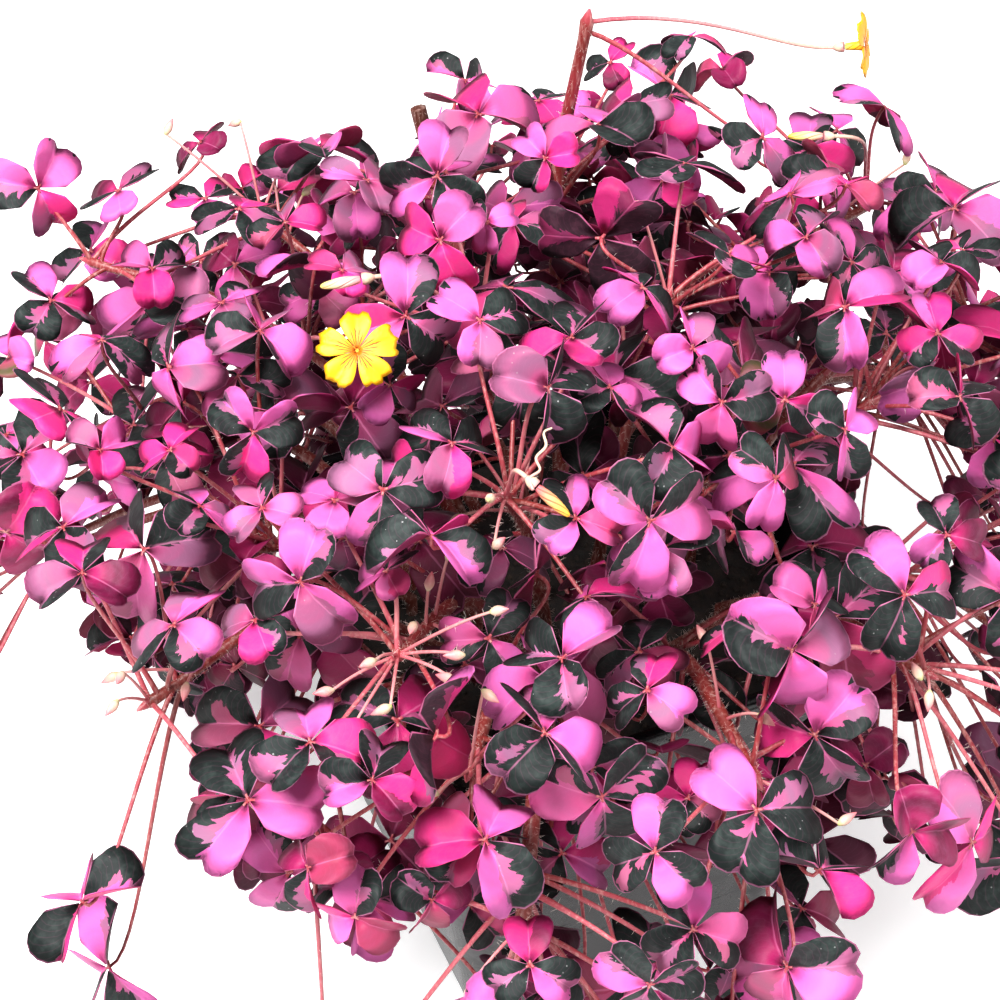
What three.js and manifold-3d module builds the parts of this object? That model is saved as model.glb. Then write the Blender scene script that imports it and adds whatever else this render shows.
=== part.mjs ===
import * as THREE from 'three';
import { mergeVertices } from 'three/addons/utils/BufferGeometryUtils.js';
import Module from 'manifold-3d';

// A potted plum oxalis: a square nursery pot, its soil, and leafy stems with three-part leaves,
// bud clusters and yellow blooms. Millimetres, +Z up, origin under the middle of the pot.

const wasm = await Module();
wasm.setup();

// Pot and soil
const POT_HEIGHT = 95;
const RIM_HALF = 52;
const BASE_HALF = 38;
const COLLAR_HEIGHT = 13;
const COLLAR_STEP = 2.2;
const WALL = 1.6;
const FLOOR = 3;
const CORNER = 10;
const SOIL_DROP = 11;
const SOIL_GAP = 0.35;
const SOIL_LUMP = 1.3;
const DRAIN_RADIUS = 3.5;
const DRAIN_SPREAD = 22;
const DRAIN_SIDES = 6;

// Stems, leaf stalks and leaves
const STEM_DEPTH = 12;
const STEM_SIDES = 5;
const STEM_UPRIGHT = 3;
const ROOT_CIRCLE = 33;
const ROOT_SHARE = 0.32;
const STEM_TAPER = 0.62;
const STEM_RISE = 0.62;
const STEM_ARCH = 0.28;
const ARCH_FROM = 45;
const HOLE_GAP = 0.4;
const STALK_RADIUS = 0.62;
const STALK_STEPS = 2;
const STALK_APPROACH = 7;
const STALK_SWEEP = 0.35;
const STALK_LIFT = 0.1;
const BLADE = 0.88;
const HUB_DROP = 0.15;
const STAGGER = 1.9;
const STAGGER_MOST = 11;
const SINUS = 0.9;
const LEAFLETS = 3;
const LEAFLET_POINTS = [[0.6, -1], [0.96, -0.66], [0.86, 0], [0.96, 0.66], [0.6, 1]];
const FOLD = [0, 0.9];
const DROOP = [0.05, 0.55];
const WIDTH = [0.44, 0.5];
const GUARD = 0.45;
const REACH_MIN = 11;
const REACH_MAX = 64;
const SHIFTS = [0, 5, -5, 10, -10, 15];
const SWINGS = [0, 0.25, -0.25];
const FILL_SPACING = 26;
const FILL_SAMPLES = 610;
const FILL_STRIDE = 89;
const FILL_DOWN = 1.32;
const FILL_LAYER = [0.9, 1.02];
const FILL_LENGTH = [11, 16];
const FILL_OUT = 0.7;
const FILL_UP = 0.45;
const FILL_LEAN = 0.9;
const LOWEST_LEAF = 46;
const SEEN_FACING = 0.38;
const SEEN_UP = 0.3;
const SEEN_OUT = 0.35;
const SEEN_EDGE = 0.9;
const SEEN_LEAN = 1.5;

// Blooms and buds
const PETALS = 5;
const PETAL_LENGTH = 6.6;
const PETAL_WIDTH = 2.7;
const PETAL_BLADE = 0.65;
const THROAT = 1.8;
const TUBE_LENGTH = 4.4;
const TUBE_RADIUS = 1.1;
const TUBE_FOOT = 0.8;
const BLOOM_SIDES = 6;
const CLOSED_LENGTH = 7;
const CLOSED_RADIUS = 1.3;
const CLOSED_TIP = 0.6;
const CALYX_LENGTH = 2.2;
const CALYX_FOOT = 0.6;
const CALYX_RADIUS = 1.1;
const BLOOM_STALK = 0.5;
const BUD_LENGTH = 3.8;
const BUD_RADIUS = 0.9;
const BUD_STALK = 0.45;
const BUD_REACH = [8, 15];
const BUD_TRIALS = 8;
const SEAT_GAP = 0.3;

// The leaves lie on a mound over the pot
const MOUND_CENTRE = new THREE.Vector3(0, 0, 78);
const MOUND_HALF = new THREE.Vector3(130, 118, 105);

// The side that the picture shows: leaves there are placed by where they are seen, in picture
// points across and down from the top left of a square of 1000, then along the line of sight
const LOOK_AZIMUTH = -24;
const LOOK_ELEVATION = 42;
const LOOK_DISTANCE = 440;
const POINT = 0.21;
const MIDDLE = 500;
const AIM_ACROSS = -14;
const AIM_UP = 12;

// Orchid pink, charcoal and mauve, taken in turn by the leafy stems
const PLUMS = [0xe268c0, 0x3a4544, 0xa85a90];

const UP = new THREE.Vector3(0, 0, 1);
const azimuth = THREE.MathUtils.degToRad(LOOK_AZIMUTH);
const elevation = THREE.MathUtils.degToRad(LOOK_ELEVATION);
const lookBack = new THREE.Vector3(
  Math.sin(azimuth) * Math.cos(elevation),
  -Math.cos(azimuth) * Math.cos(elevation),
  Math.sin(elevation),
);
const lookRight = new THREE.Vector3(Math.cos(azimuth), Math.sin(azimuth), 0);
const lookUp = lookBack.clone().cross(lookRight);
const eye = new THREE.Vector3(0, 0, POT_HEIGHT)
  .addScaledVector(lookRight, AIM_ACROSS)
  .addScaledVector(lookUp, AIM_UP)
  .addScaledVector(lookBack, LOOK_DISTANCE);

function sightLine(across, down) {
  return lookBack.clone().multiplyScalar(-LOOK_DISTANCE)
    .addScaledVector(lookRight, (across - MIDDLE) * POINT)
    .addScaledVector(lookUp, (MIDDLE - down) * POINT)
    .normalize();
}

// The picture place at which a point is seen
function seenAt(point) {
  const off = point.clone().sub(eye);
  const scale = -LOOK_DISTANCE / off.dot(lookBack) / POINT;
  return {
    across: MIDDLE + off.dot(lookRight) * scale,
    down: MIDDLE - off.dot(lookUp) * scale,
  };
}

// The point seen at a picture place on the mound, scaled by layer about its centre
function onMound(across, down, layer = 1) {
  const line = sightLine(across, down);
  const half = MOUND_HALF.clone().multiplyScalar(layer);
  const from = eye.clone().sub(MOUND_CENTRE).divide(half);
  const way = line.clone().divide(half);
  const a = way.dot(way);
  const b = from.dot(way);
  const c = from.dot(from) - 1;
  const root = Math.sqrt(Math.max(b * b - a * c, 0));
  return eye.clone().addScaledVector(line, (-b - root) / a);
}

// The point seen at a picture place at a height over the table
function atHeight(across, down, height) {
  const line = sightLine(across, down);
  return eye.clone().addScaledVector(line, (height - eye.z) / line.z);
}

function moundNormal(point) {
  return point.clone().sub(MOUND_CENTRE).divide(MOUND_HALF).divide(MOUND_HALF).normalize();
}

function seeded(seed) {
  let state = seed >>> 0;
  return () => {
    state = (state + 0x6d2b79f5) >>> 0;
    let t = state;
    t = Math.imul(t ^ (t >>> 15), t | 1);
    t ^= t + Math.imul(t ^ (t >>> 7), t | 61);
    return ((t ^ (t >>> 14)) >>> 0) / 4294967296;
  };
}

function between([low, high], random) {
  return low + (high - low) * random();
}

function toSolid(geometry) {
  geometry.deleteAttribute('normal');
  geometry.deleteAttribute('uv');
  const merged = mergeVertices(geometry, 1e-4);
  return new wasm.Manifold(new wasm.Mesh({
    numProp: 3,
    vertProperties: new Float32Array(merged.attributes.position.array),
    triVerts: new Uint32Array(merged.index.array),
  }));
}

function fromSolid(solid) {
  const mesh = solid.getMesh();
  const geometry = new THREE.BufferGeometry();
  geometry.setAttribute('position', new THREE.BufferAttribute(mesh.vertProperties, 3));
  geometry.setIndex(new THREE.BufferAttribute(mesh.triVerts, 1));
  geometry.computeVertexNormals();
  return geometry;
}

function middleOf(ring) {
  const middle = new THREE.Vector3();
  ring.forEach((point) => middle.add(point));
  return middle.divideScalar(ring.length);
}

// A closed surface through rings of equally many points, each end closed by a fan from its middle
function loft(rings, middles = [middleOf(rings[0]), middleOf(rings[rings.length - 1])]) {
  const count = rings[0].length;
  const points = [...rings.flat(), ...middles];
  const index = [];
  const first = rings.length * count;
  for (let i = 0; i < count; i += 1) {
    const next = (i + 1) % count;
    for (let ring = 0; ring < rings.length - 1; ring += 1) {
      const low = ring * count;
      const high = low + count;
      index.push(low + i, low + next, high + next, low + i, high + next, high + i);
    }
    const top = (rings.length - 1) * count;
    index.push(first, next, i, first + 1, top + i, top + next);
  }
  const geometry = new THREE.BufferGeometry().setFromPoints(points);
  geometry.setIndex(index);
  return geometry;
}

function roundedSquare(half, corner, height, arcSteps = 2) {
  const outline = new THREE.Shape();
  const straight = half - corner;
  outline.absarc(straight, straight, corner, 0, Math.PI / 2);
  outline.absarc(-straight, straight, corner, Math.PI / 2, Math.PI);
  outline.absarc(-straight, -straight, corner, Math.PI, Math.PI * 1.5);
  outline.absarc(straight, -straight, corner, Math.PI * 1.5, Math.PI * 2);
  return outline.getPoints(arcSteps).map((p) => new THREE.Vector3(p.x, p.y, height))
    .filter((p, i, all) => i === 0 || p.distanceTo(all[i - 1]) > 1e-3)
    .filter((p, i, all) => i < all.length - 1 || p.distanceTo(all[0]) > 1e-3);
}

// Half width of the pot's outer wall below the collar
function wallHalf(height) {
  const under = RIM_HALF - COLLAR_STEP - 1;
  return BASE_HALF + (under - BASE_HALF) * height / (POT_HEIGHT - COLLAR_HEIGHT);
}

function makePot() {
  const collarFoot = POT_HEIGHT - COLLAR_HEIGHT;
  const corner = (half) => CORNER * half / RIM_HALF;
  const ring = (half, height) => roundedSquare(half, corner(half), height);
  const body = toSolid(loft([
    ring(BASE_HALF - 1.2, 0),
    ring(BASE_HALF, 1.5),
    ring(wallHalf(collarFoot - 0.8), collarFoot - 0.8),
    ring(RIM_HALF - 2.4, collarFoot),
    ring(RIM_HALF - 1.7, POT_HEIGHT - 4),
    ring(RIM_HALF - 0.1, POT_HEIGHT - 3),
    ring(RIM_HALF, POT_HEIGHT - 1),
    ring(RIM_HALF - 1.2, POT_HEIGHT),
    ring(RIM_HALF - 2.8, POT_HEIGHT - 0.8),
    ring(RIM_HALF - 2.4 - WALL, collarFoot + 1),
    ring(wallHalf(collarFoot - 2) - WALL, collarFoot - 2),
    ring(wallHalf(FLOOR) - WALL, FLOOR),
  ]));
  let pot = body;
  for (const turn of [0, 1, 2, 3]) {
    const drain = new THREE.CylinderGeometry(DRAIN_RADIUS, DRAIN_RADIUS, FLOOR * 4, DRAIN_SIDES);
    drain.rotateX(Math.PI / 2);
    drain.translate(DRAIN_SPREAD, 0, 0);
    drain.rotateZ(turn * Math.PI / 2);
    pot = pot.subtract(toSolid(drain));
  }
  return pot;
}

const soilTop = POT_HEIGHT - SOIL_DROP;

function makeSoil(holes) {
  const random = seeded(5);
  const inside = (height) => wallHalf(height) - WALL - SOIL_GAP;
  const corner = (half) => CORNER * half / RIM_HALF;
  const shoulder = POT_HEIGHT - COLLAR_HEIGHT - 3;
  const rings = [
    roundedSquare(inside(FLOOR) - 0.2, corner(inside(FLOOR)), FLOOR + SOIL_GAP, 1),
    roundedSquare(inside(shoulder), corner(inside(shoulder)), shoulder, 1),
  ];
  const edge = inside(shoulder) - 0.7;
  const ring = roundedSquare(edge, corner(edge), soilTop - 1.5, 1);
  ring.forEach((point) => {
    point.z += (random() - 0.5) * SOIL_LUMP;
  });
  rings.push(ring);
  const middles = [middleOf(rings[0]), new THREE.Vector3(0, 0, soilTop)];
  let soil = toSolid(loft(rings, middles));
  for (const hole of holes) {
    const radius = (hole.radius + HOLE_GAP) / Math.cos(Math.PI / STEM_SIDES);
    const cutter = new THREE.CylinderGeometry(radius, radius, STEM_DEPTH * 2 + 1, STEM_SIDES);
    cutter.rotateX(Math.PI / 2);
    cutter.translate(hole.x, hole.y, soilTop - SEAT_GAP + 0.5);
    soil = soil.subtract(toSolid(cutter));
  }
  return soil;
}

// Rings of a few points along a path, turned only as much as the path turns, the last one scaled
// by taper
function ringsAlong(centres, headings, across, radius, sides, shift, taper = 1) {
  const side = across.clone();
  let last = headings[0];
  return centres.map((centre, i) => {
    side.applyQuaternion(new THREE.Quaternion().setFromUnitVectors(last, headings[i]));
    last = headings[i];
    const reach = radius * (1 + (taper - 1) * i / (centres.length - 1));
    return Array.from({ length: sides }, (_, k) => {
      const angle = (k + shift) / sides * Math.PI * 2;
      return centre.clone().addScaledVector(side.clone().applyAxisAngle(last, angle), reach);
    });
  });
}

// A tube of few sides along a curve
function tube(curve, radius, sides, steps) {
  const shares = Array.from({ length: steps + 1 }, (_, i) => i / steps);
  const centres = shares.map((share) => curve.getPoint(share));
  const headings = shares.map((share) => curve.getTangent(share));
  const level = new THREE.Vector3().crossVectors(headings[0], lookBack).normalize();
  return loft(ringsAlong(centres, headings, level, radius, sides, 0));
}

// Leafy stems: where each comes to its nodes, from which the leaf stalks spread. The first group is
// seen in the picture, the second stands at the back and the sides.
const STEMS = [
  { name: 'tall', radius: 1.9, nodes: [atHeight(556, 190, 158), atHeight(587, 22, 197)] },
  { name: 'cut', radius: 1.7, nodes: [atHeight(440, 190, 158)], stump: atHeight(418, 108, 176) },
  { name: 'back_left', radius: 1.4, nodes: [onMound(262, 215, 0.8)] },
  { name: 'far_left', radius: 1.4, nodes: [onMound(92, 262, 0.82)] },
  { name: 'left', radius: 1.5, nodes: [onMound(128, 430, 0.8)] },
  { name: 'left_edge', radius: 1.4, nodes: [onMound(58, 548, 0.86)] },
  { name: 'left_low', radius: 1.6, nodes: [onMound(150, 702, 0.86)] },
  { name: 'upper_left', radius: 1.4, nodes: [onMound(300, 345, 0.74)] },
  { name: 'middle_left', radius: 1.4, nodes: [onMound(262, 548, 0.7)] },
  { name: 'hairy', radius: 1.7, nodes: [onMound(398, 655, 0.86)] },
  { name: 'middle', radius: 1.6, nodes: [onMound(505, 497, 0.86)] },
  { name: 'upper_middle', radius: 1.4, nodes: [onMound(480, 330, 0.78)] },
  { name: 'upper_right', radius: 1.5, nodes: [onMound(668, 300, 0.8)] },
  { name: 'back_right', radius: 1.7, nodes: [atHeight(868, 205, 128)] },
  { name: 'far_right', radius: 1.5, nodes: [onMound(968, 318, 0.86)] },
  { name: 'right', radius: 1.6, nodes: [onMound(872, 402, 0.8)] },
  { name: 'middle_right', radius: 1.5, nodes: [onMound(742, 470, 0.74)] },
  { name: 'right_low', radius: 1.7, nodes: [onMound(925, 672, 0.88)] },
  { name: 'front_right', radius: 1.8, nodes: [onMound(755, 778, 0.9)] },
  { name: 'front', radius: 2.1, nodes: [onMound(523, 925, 0.9)] },
  { name: 'front_left', radius: 1.7, nodes: [onMound(470, 770, 0.84)] },
  { name: 'low_left', radius: 1.4, nodes: [onMound(300, 828, 0.84)] },
  { name: 'rear_left', radius: 1.5, nodes: [new THREE.Vector3(-60, 84, 96)] },
  { name: 'rear', radius: 1.6, nodes: [new THREE.Vector3(4, 84, 118)] },
  { name: 'rear_right', radius: 1.5, nodes: [new THREE.Vector3(62, 74, 108)] },
  { name: 'rear_low', radius: 1.5, nodes: [new THREE.Vector3(-24, 96, 84)] },
  { name: 'side_right', radius: 1.5, nodes: [new THREE.Vector3(98, 26, 92)] },
  { name: 'side_low', radius: 1.4, nodes: [new THREE.Vector3(84, -62, 82)] },
  { name: 'side_left', radius: 1.4, nodes: [new THREE.Vector3(-98, 58, 86)] },
];

// Leaves seen in the picture: across, down, leaflet length in picture points, and the turn of the
// first leaflet in degrees. A fifth number tips the leaf until it is seen from its edge.
const SEEN_LEAVES = [
  [38, 188, 50, 55], [118, 190, 45, 60], [90, 251, 50, 100], [51, 300, 48, 120], [205, 198, 40, 60],
  [315, 146, 68, 0, 0.5], [367, 180, 50, 180], [437, 176, 58, 195], [465, 80, 42, 160],
  [285, 222, 42, 110], [440, 240, 55, 165], [670, 95, 56, 145], [686, 163, 62, 90, 0.6],
  [763, 137, 50, 75, 0.3], [885, 106, 48, 200, 0.4], [936, 192, 48, -45], [806, 237, 46, 175, 0.4],
  [852, 262, 52, 120], [942, 262, 46, 90], [45, 340, 50, 175], [168, 367, 58, 130],
  [260, 331, 56, 75], [100, 450, 40, 45], [63, 527, 62, 65], [262, 508, 45, 110],
  [253, 432, 52, 15], [406, 316, 62, 85], [452, 443, 55, 140], [383, 490, 60, 140],
  [335, 500, 50, 130], [571, 337, 60, 95], [548, 388, 62, 170], [693, 348, 46, 80],
  [722, 402, 52, 135], [672, 447, 60, 120], [845, 307, 60, -85], [960, 397, 55, 185],
  [845, 430, 52, -85], [776, 478, 55, 150], [82, 573, 55, 225], [173, 625, 62, 90],
  [300, 582, 68, 65], [255, 620, 55, -65], [310, 742, 66, 105], [576, 518, 52, 100],
  [650, 521, 72, 255], [562, 658, 68, 150], [545, 733, 70, 90], [647, 690, 50, 95],
  [792, 650, 76, 25], [815, 735, 72, 50], [905, 595, 66, 125, 0.3], [947, 535, 45, 230, 0.3],
  [1010, 595, 68, 160], [82, 902, 68, 0, 0.85], [248, 800, 84, 245], [372, 780, 55, 195],
  [355, 917, 52, 80], [485, 840, 74, 185, 0.3], [602, 797, 72, 285], [693, 930, 54, 100],
  [787, 967, 74, 10, 0.4], [820, 870, 62, 175, 0.4], [972, 843, 74, 130], [912, 832, 58, 235],
  [1030, 860, 82, 195], [757, 810, 78, 15],
];

// Gaps in which the picture shows no leaf: across, down and radius in picture points
const GAPS = [
  [90, 770, 100], [180, 965, 95], [20, 655, 55], [130, 550, 32], [90, 388, 18], [50, 90, 75],
  [270, 88, 50], [390, 105, 32], [545, 45, 32], [800, 70, 38], [945, 70, 70], [728, 182, 24],
  [840, 290, 16], [862, 412, 18], [905, 462, 42], [912, 512, 28], [948, 608, 26], [898, 632, 20],
  [815, 838, 28], [630, 862, 18], [612, 905, 14], [730, 895, 18], [960, 965, 95], [930, 752, 22],
  [290, 960, 45], [420, 975, 40],
];

const solidsOf = new Map();
const blades = [];
const stalks = [];

function overlapsBox(a, b) {
  return [0, 1, 2].every((i) => a.min[i] <= b.max[i] && b.min[i] <= a.max[i]);
}

function crosses(solid, others) {
  const box = solid.boundingBox();
  return others.some((other) => overlapsBox(box, other.box)
    && !solid.intersect(other.solid).isEmpty());
}

function keep(list, owner, solid) {
  list.push({ owner, solid, box: solid.boundingBox() });
}

// A stem stands upright in its hole in the soil, arches out and ends at its last node
function stemCurve(stem) {
  const first = stem.nodes[0];
  const reach = Math.hypot(first.x, first.y);
  const share = Math.min(ROOT_SHARE, ROOT_CIRCLE / reach);
  stem.root = new THREE.Vector3(first.x * share, first.y * share, soilTop - STEM_DEPTH);
  const above = stem.root.clone().setZ(soilTop + STEM_UPRIGHT);
  const rise = Math.max(first.z - above.z, 0);
  const half = above.clone().lerp(first, 0.5);
  half.z = above.z + rise * STEM_RISE + Math.max(0, reach - ARCH_FROM) * STEM_ARCH;
  const points = [above, half, ...stem.nodes];
  if (stem.stump) points.push(stem.stump);
  return new THREE.CatmullRomCurve3(points, false, 'centripetal');
}

// Each stretch between two points of the path takes two rings, so that nodes lie on rings
function growStem(stem) {
  stem.curve = stemCurve(stem);
  const steps = (stem.curve.points.length - 1) * 2;
  stem.centres = [stem.root];
  const headings = [UP];
  for (let step = 0; step <= steps; step += 1) {
    stem.centres.push(stem.curve.getPoint(step / steps));
    headings.push(step ? stem.curve.getTangent(step / steps) : UP);
  }
  const taper = stem.stump ? 1 : STEM_TAPER;
  const rings = ringsAlong(stem.centres, headings, lookRight, stem.radius, STEM_SIDES, 0, taper);
  const tip = stem.centres[steps + 1].clone()
    .addScaledVector(headings[steps + 1], stem.radius * taper);
  stem.solid = toSolid(loft(rings, [stem.root, tip]));
  stem.nodes = stem.nodes.map((place, number) => ({ place, ring: number * 2 + 5, used: 0 }));
  solidsOf.set(stem.name, stem.solid);
  keep(stalks, stem.name, stem.solid);
}

// Stalks leave a stem one after another, back from its node
function stalkFoot(stem, node) {
  let left = Math.min(node.used, STAGGER_MOST) * STAGGER;
  for (let ring = node.ring; ring > 1; ring -= 1) {
    const [near, far] = [stem.centres[ring], stem.centres[ring - 1]];
    const length = near.distanceTo(far);
    if (left < length) return near.clone().lerp(far, left / length);
    left -= length;
  }
  return stem.centres[1].clone();
}

// The outline of a leaf in its own frame: the hub at the origin, the first leaflet along +X, facing
// +Z. Each leaflet is a wedge with two lobes, folded along its rib and drooping to its tip. Its six
// points start in the gap before it.
function leafOutline(leaf) {
  const outline = [];
  for (let k = 0; k < LEAFLETS; k += 1) {
    const turn = (k / LEAFLETS) * Math.PI * 2;
    const gap = turn - Math.PI / LEAFLETS;
    outline.push(new THREE.Vector3(Math.cos(gap) * SINUS, Math.sin(gap) * SINUS, 0));
    for (const [along, beside] of LEAFLET_POINTS) {
      const u = along * leaf.length;
      const v = beside * leaf.length * leaf.width;
      const drop = leaf.droop * leaf.length * along * along;
      const x = u * Math.cos(turn) - v * Math.sin(turn);
      const y = u * Math.sin(turn) + v * Math.cos(turn);
      outline.push(new THREE.Vector3(x, y, leaf.fold * Math.abs(v) - drop));
    }
  }
  return outline;
}

// The room that a blade takes: its outline between two levels, closed
function bladeRoom(leaf, fat) {
  const outline = leafOutline(leaf);
  const lift = (height) => (point) => point.clone().setZ(point.z + height).applyMatrix4(leaf.frame);
  const rings = [outline.map(lift(-BLADE - fat)), outline.map(lift(fat))];
  return loft(rings, rings.map((_, i) => lift(i ? fat : -BLADE - fat)(new THREE.Vector3())));
}

// Three-sided rings along a leaf stalk, from inside the stem to the underside of the hub
function stalkRings(leaf, start, radius) {
  const end = leaf.hub.clone().addScaledVector(leaf.normal, -BLADE - HUB_DROP);
  const below = leaf.hub.clone().addScaledVector(leaf.normal, -STALK_APPROACH);
  const reach = leaf.hub.distanceTo(start);
  const out = start.clone().lerp(leaf.hub, STALK_SWEEP);
  out.z += reach * STALK_LIFT;
  const curve = new THREE.CubicBezierCurve3(start, out, below, end);
  const shares = Array.from({ length: STALK_STEPS + 1 }, (_, i) => 1 - i / STALK_STEPS);
  const centres = shares.map((share) => curve.getPoint(share));
  const headings = shares.map((share) => (share < 1 ? curve.getTangent(share) : leaf.normal));
  const across = new THREE.Vector3().setFromMatrixColumn(leaf.frame, 0);
  return ringsAlong(centres, headings, across, radius, LEAFLETS, -0.5).reverse();
}

// A leaf and its stalk in one closed surface: the blade's underside runs into the top stalk ring
function leafSolid(leaf, start) {
  const outline = leafOutline(leaf);
  const rings = stalkRings(leaf, start, STALK_RADIUS);
  const lift = (height) => (point) => point.clone().setZ(point.z + height).applyMatrix4(leaf.frame);
  const points = [...outline.map(lift(0)), ...outline.map(lift(-BLADE)), leaf.hub, ...rings.flat()];
  const count = outline.length;
  const centre = count * 2;
  const foot = centre + 1;
  const top = foot + (rings.length - 1) * LEAFLETS;
  const index = [];
  const under = (a, b, c) => index.push(a, c, b);
  for (let k = 0; k < LEAFLETS; k += 1) {
    const [gap, a, b, notch, c, d] = [0, 1, 2, 3, 4, 5].map((i) => k * 6 + i);
    const last = (k * 6 + 6) % count;
    index.push(centre, gap, a, centre, a, notch, a, b, notch);
    index.push(centre, notch, d, notch, c, d, centre, d, last);
    const near = top + k;
    const far = top + (k + 1) % LEAFLETS;
    under(near, count + gap, count + a);
    under(near, count + a, count + notch);
    under(count + a, count + b, count + notch);
    under(near, count + notch, far);
    under(far, count + notch, count + d);
    under(count + notch, count + c, count + d);
    under(far, count + d, count + last);
    for (let ring = 0; ring < rings.length - 1; ring += 1) {
      const low = foot + ring * LEAFLETS;
      const next = (k + 1) % LEAFLETS;
      index.push(low + k, low + next, low + LEAFLETS + next);
      index.push(low + k, low + LEAFLETS + next, low + LEAFLETS + k);
    }
  }
  index.push(foot, foot + 2, foot + 1);
  for (let i = 0; i < count; i += 1) {
    const next = (i + 1) % count;
    index.push(i, count + i, count + next, i, count + next, next);
  }
  const geometry = new THREE.BufferGeometry().setFromPoints(points);
  geometry.setIndex(index);
  return toSolid(geometry);
}

function placeLeaf(leaf, hub, normal, along) {
  const z = normal.clone().normalize();
  const x = along.clone().addScaledVector(z, -along.dot(z)).normalize();
  const y = z.clone().cross(x);
  leaf.hub = hub;
  leaf.normal = z;
  leaf.frame = new THREE.Matrix4().makeBasis(x, y, z).setPosition(hub);
}

// Whether a leaf is seen in one of the gaps
function showsInGap(leaf) {
  const places = leafOutline(leaf).map((point) => seenAt(point.applyMatrix4(leaf.frame)));
  return places.some((place) => GAPS.some(([across, down, radius]) => (
    Math.hypot(place.across - across, place.down - down) < radius
  )));
}

function nearestNodes(hub) {
  const found = [];
  for (const stem of STEMS) {
    for (const node of stem.nodes) {
      const distance = node.place.distanceTo(hub);
      if (distance > REACH_MIN && distance < REACH_MAX) found.push({ stem, node, distance });
    }
  }
  return found.sort((a, b) => a.distance - b.distance).slice(0, 4);
}

// A leaf goes in where neither it nor its stalk crosses another stem or leaf
function tryLeaf(leaf, slide) {
  const start = leaf.hub.clone();
  const normal = leaf.normal.clone();
  const along = leaf.along;
  for (const shift of SHIFTS) {
    for (const swing of SWINGS) {
      const hub = start.clone().addScaledVector(slide, shift);
      const facing = normal.clone().applyAxisAngle(along, swing);
      placeLeaf(leaf, hub, facing, along);
      const guard = toSolid(bladeRoom(leaf, GUARD));
      if (crosses(guard, blades) || crosses(guard, stalks)) continue;
      for (const { stem, node } of nearestNodes(hub)) {
        const foot = stalkFoot(stem, node);
        const wide = toSolid(loft(stalkRings(leaf, foot, STALK_RADIUS + GUARD)));
        const foreign = stalks.filter((stalk) => stalk.owner !== stem.name);
        if (crosses(wide, blades) || crosses(wide, foreign)) continue;
        keep(blades, stem.name, toSolid(bladeRoom(leaf, 0)));
        keep(stalks, stem.name, toSolid(loft(stalkRings(leaf, foot, STALK_RADIUS))));
        solidsOf.set(stem.name, solidsOf.get(stem.name).add(leafSolid(leaf, foot)));
        node.used += 1;
        return true;
      }
    }
  }
  return false;
}

// Blooms: the stem that carries each, where the flower stands in its green cup and which way it
// looks. Open ones are given by where their throat is seen.
const openFacing = lookBack.clone().addScaledVector(lookUp, 0.15).normalize();
const sideFacing = lookRight.clone().addScaledVector(lookBack, 0.35).normalize();
const leftward = lookRight.clone().negate();
const YELLOW = 0xffd80a;
const BLOOMS = [
  {
    name: 'bloom_open',
    stem: 'upper_left',
    base: onMound(357, 350, 1.07).addScaledVector(openFacing, -TUBE_LENGTH),
    facing: openFacing,
    open: true,
    color: YELLOW,
  },
  {
    name: 'bloom_side',
    stem: 'tall',
    base: atHeight(866, 45, 184).addScaledVector(sideFacing, -TUBE_LENGTH),
    facing: sideFacing,
    open: true,
    color: YELLOW,
  },
  {
    name: 'bloom_closed',
    stem: 'back_right',
    base: atHeight(824, 136, 166),
    facing: leftward,
    color: 0xf6dc8a,
  },
  {
    name: 'bloom_faded',
    stem: 'middle',
    base: onMound(536, 486, 1.03),
    facing: lookRight.clone().addScaledVector(lookUp, -0.9).normalize(),
    color: 0xe9a84c,
  },
  {
    name: 'bud_long',
    stem: 'upper_middle',
    base: onMound(362, 279, 1.05),
    facing: leftward.clone().addScaledVector(lookUp, -0.18).normalize(),
    color: 0xf3d7b4,
  },
];

// Small buds at the stem tips: stem and how many
const BUD_CLUSTERS = [
  ['hairy', 4], ['left_low', 3], ['middle', 2], ['front_right', 2], ['back_left', 2],
];

function aimed(geometry, origin, facing) {
  const turn = new THREE.Quaternion().setFromUnitVectors(UP, facing);
  geometry.applyQuaternion(turn);
  geometry.translate(origin.x, origin.y, origin.z);
  return geometry;
}

// Five spoon-shaped petals in one funnel-shaped outline, rising from the throat
function corolla() {
  const outline = [];
  for (let k = 0; k < PETALS; k += 1) {
    const turn = (k / PETALS) * Math.PI * 2;
    const place = (along, beside, rise) => {
      const u = along * PETAL_LENGTH;
      const v = beside * PETAL_WIDTH;
      const x = u * Math.cos(turn) - v * Math.sin(turn);
      const y = u * Math.sin(turn) + v * Math.cos(turn);
      return [x, y, rise];
    };
    const gap = turn - Math.PI / PETALS;
    outline.push([Math.cos(gap) * THROAT, Math.sin(gap) * THROAT, THROAT * 0.5]);
    outline.push(place(0.66, -1, THROAT), place(0.98, -0.5, THROAT * 0.9));
    outline.push(place(0.98, 0.5, THROAT * 0.9), place(0.66, 1, THROAT));
  }
  const count = outline.length;
  const positions = [];
  for (const level of [0, -PETAL_BLADE]) {
    outline.forEach(([x, y, z]) => positions.push(x, y, z + level));
    positions.push(0, 0, level);
  }
  const index = [];
  for (let i = 0; i < count; i += 1) {
    const next = (i + 1) % count;
    index.push(count, i, next, count + 1 + count, count + 1 + next, count + 1 + i);
    index.push(i, count + 1 + i, count + 1 + next, i, count + 1 + next, next);
  }
  const geometry = new THREE.BufferGeometry();
  geometry.setAttribute('position', new THREE.Float32BufferAttribute(positions, 3));
  geometry.setIndex(index);
  return geometry;
}

function turned(profile, segments) {
  const points = profile.map(([radius, height]) => new THREE.Vector2(radius, height));
  const geometry = new THREE.LatheGeometry(points, segments);
  geometry.rotateX(Math.PI / 2);
  return geometry;
}

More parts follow.
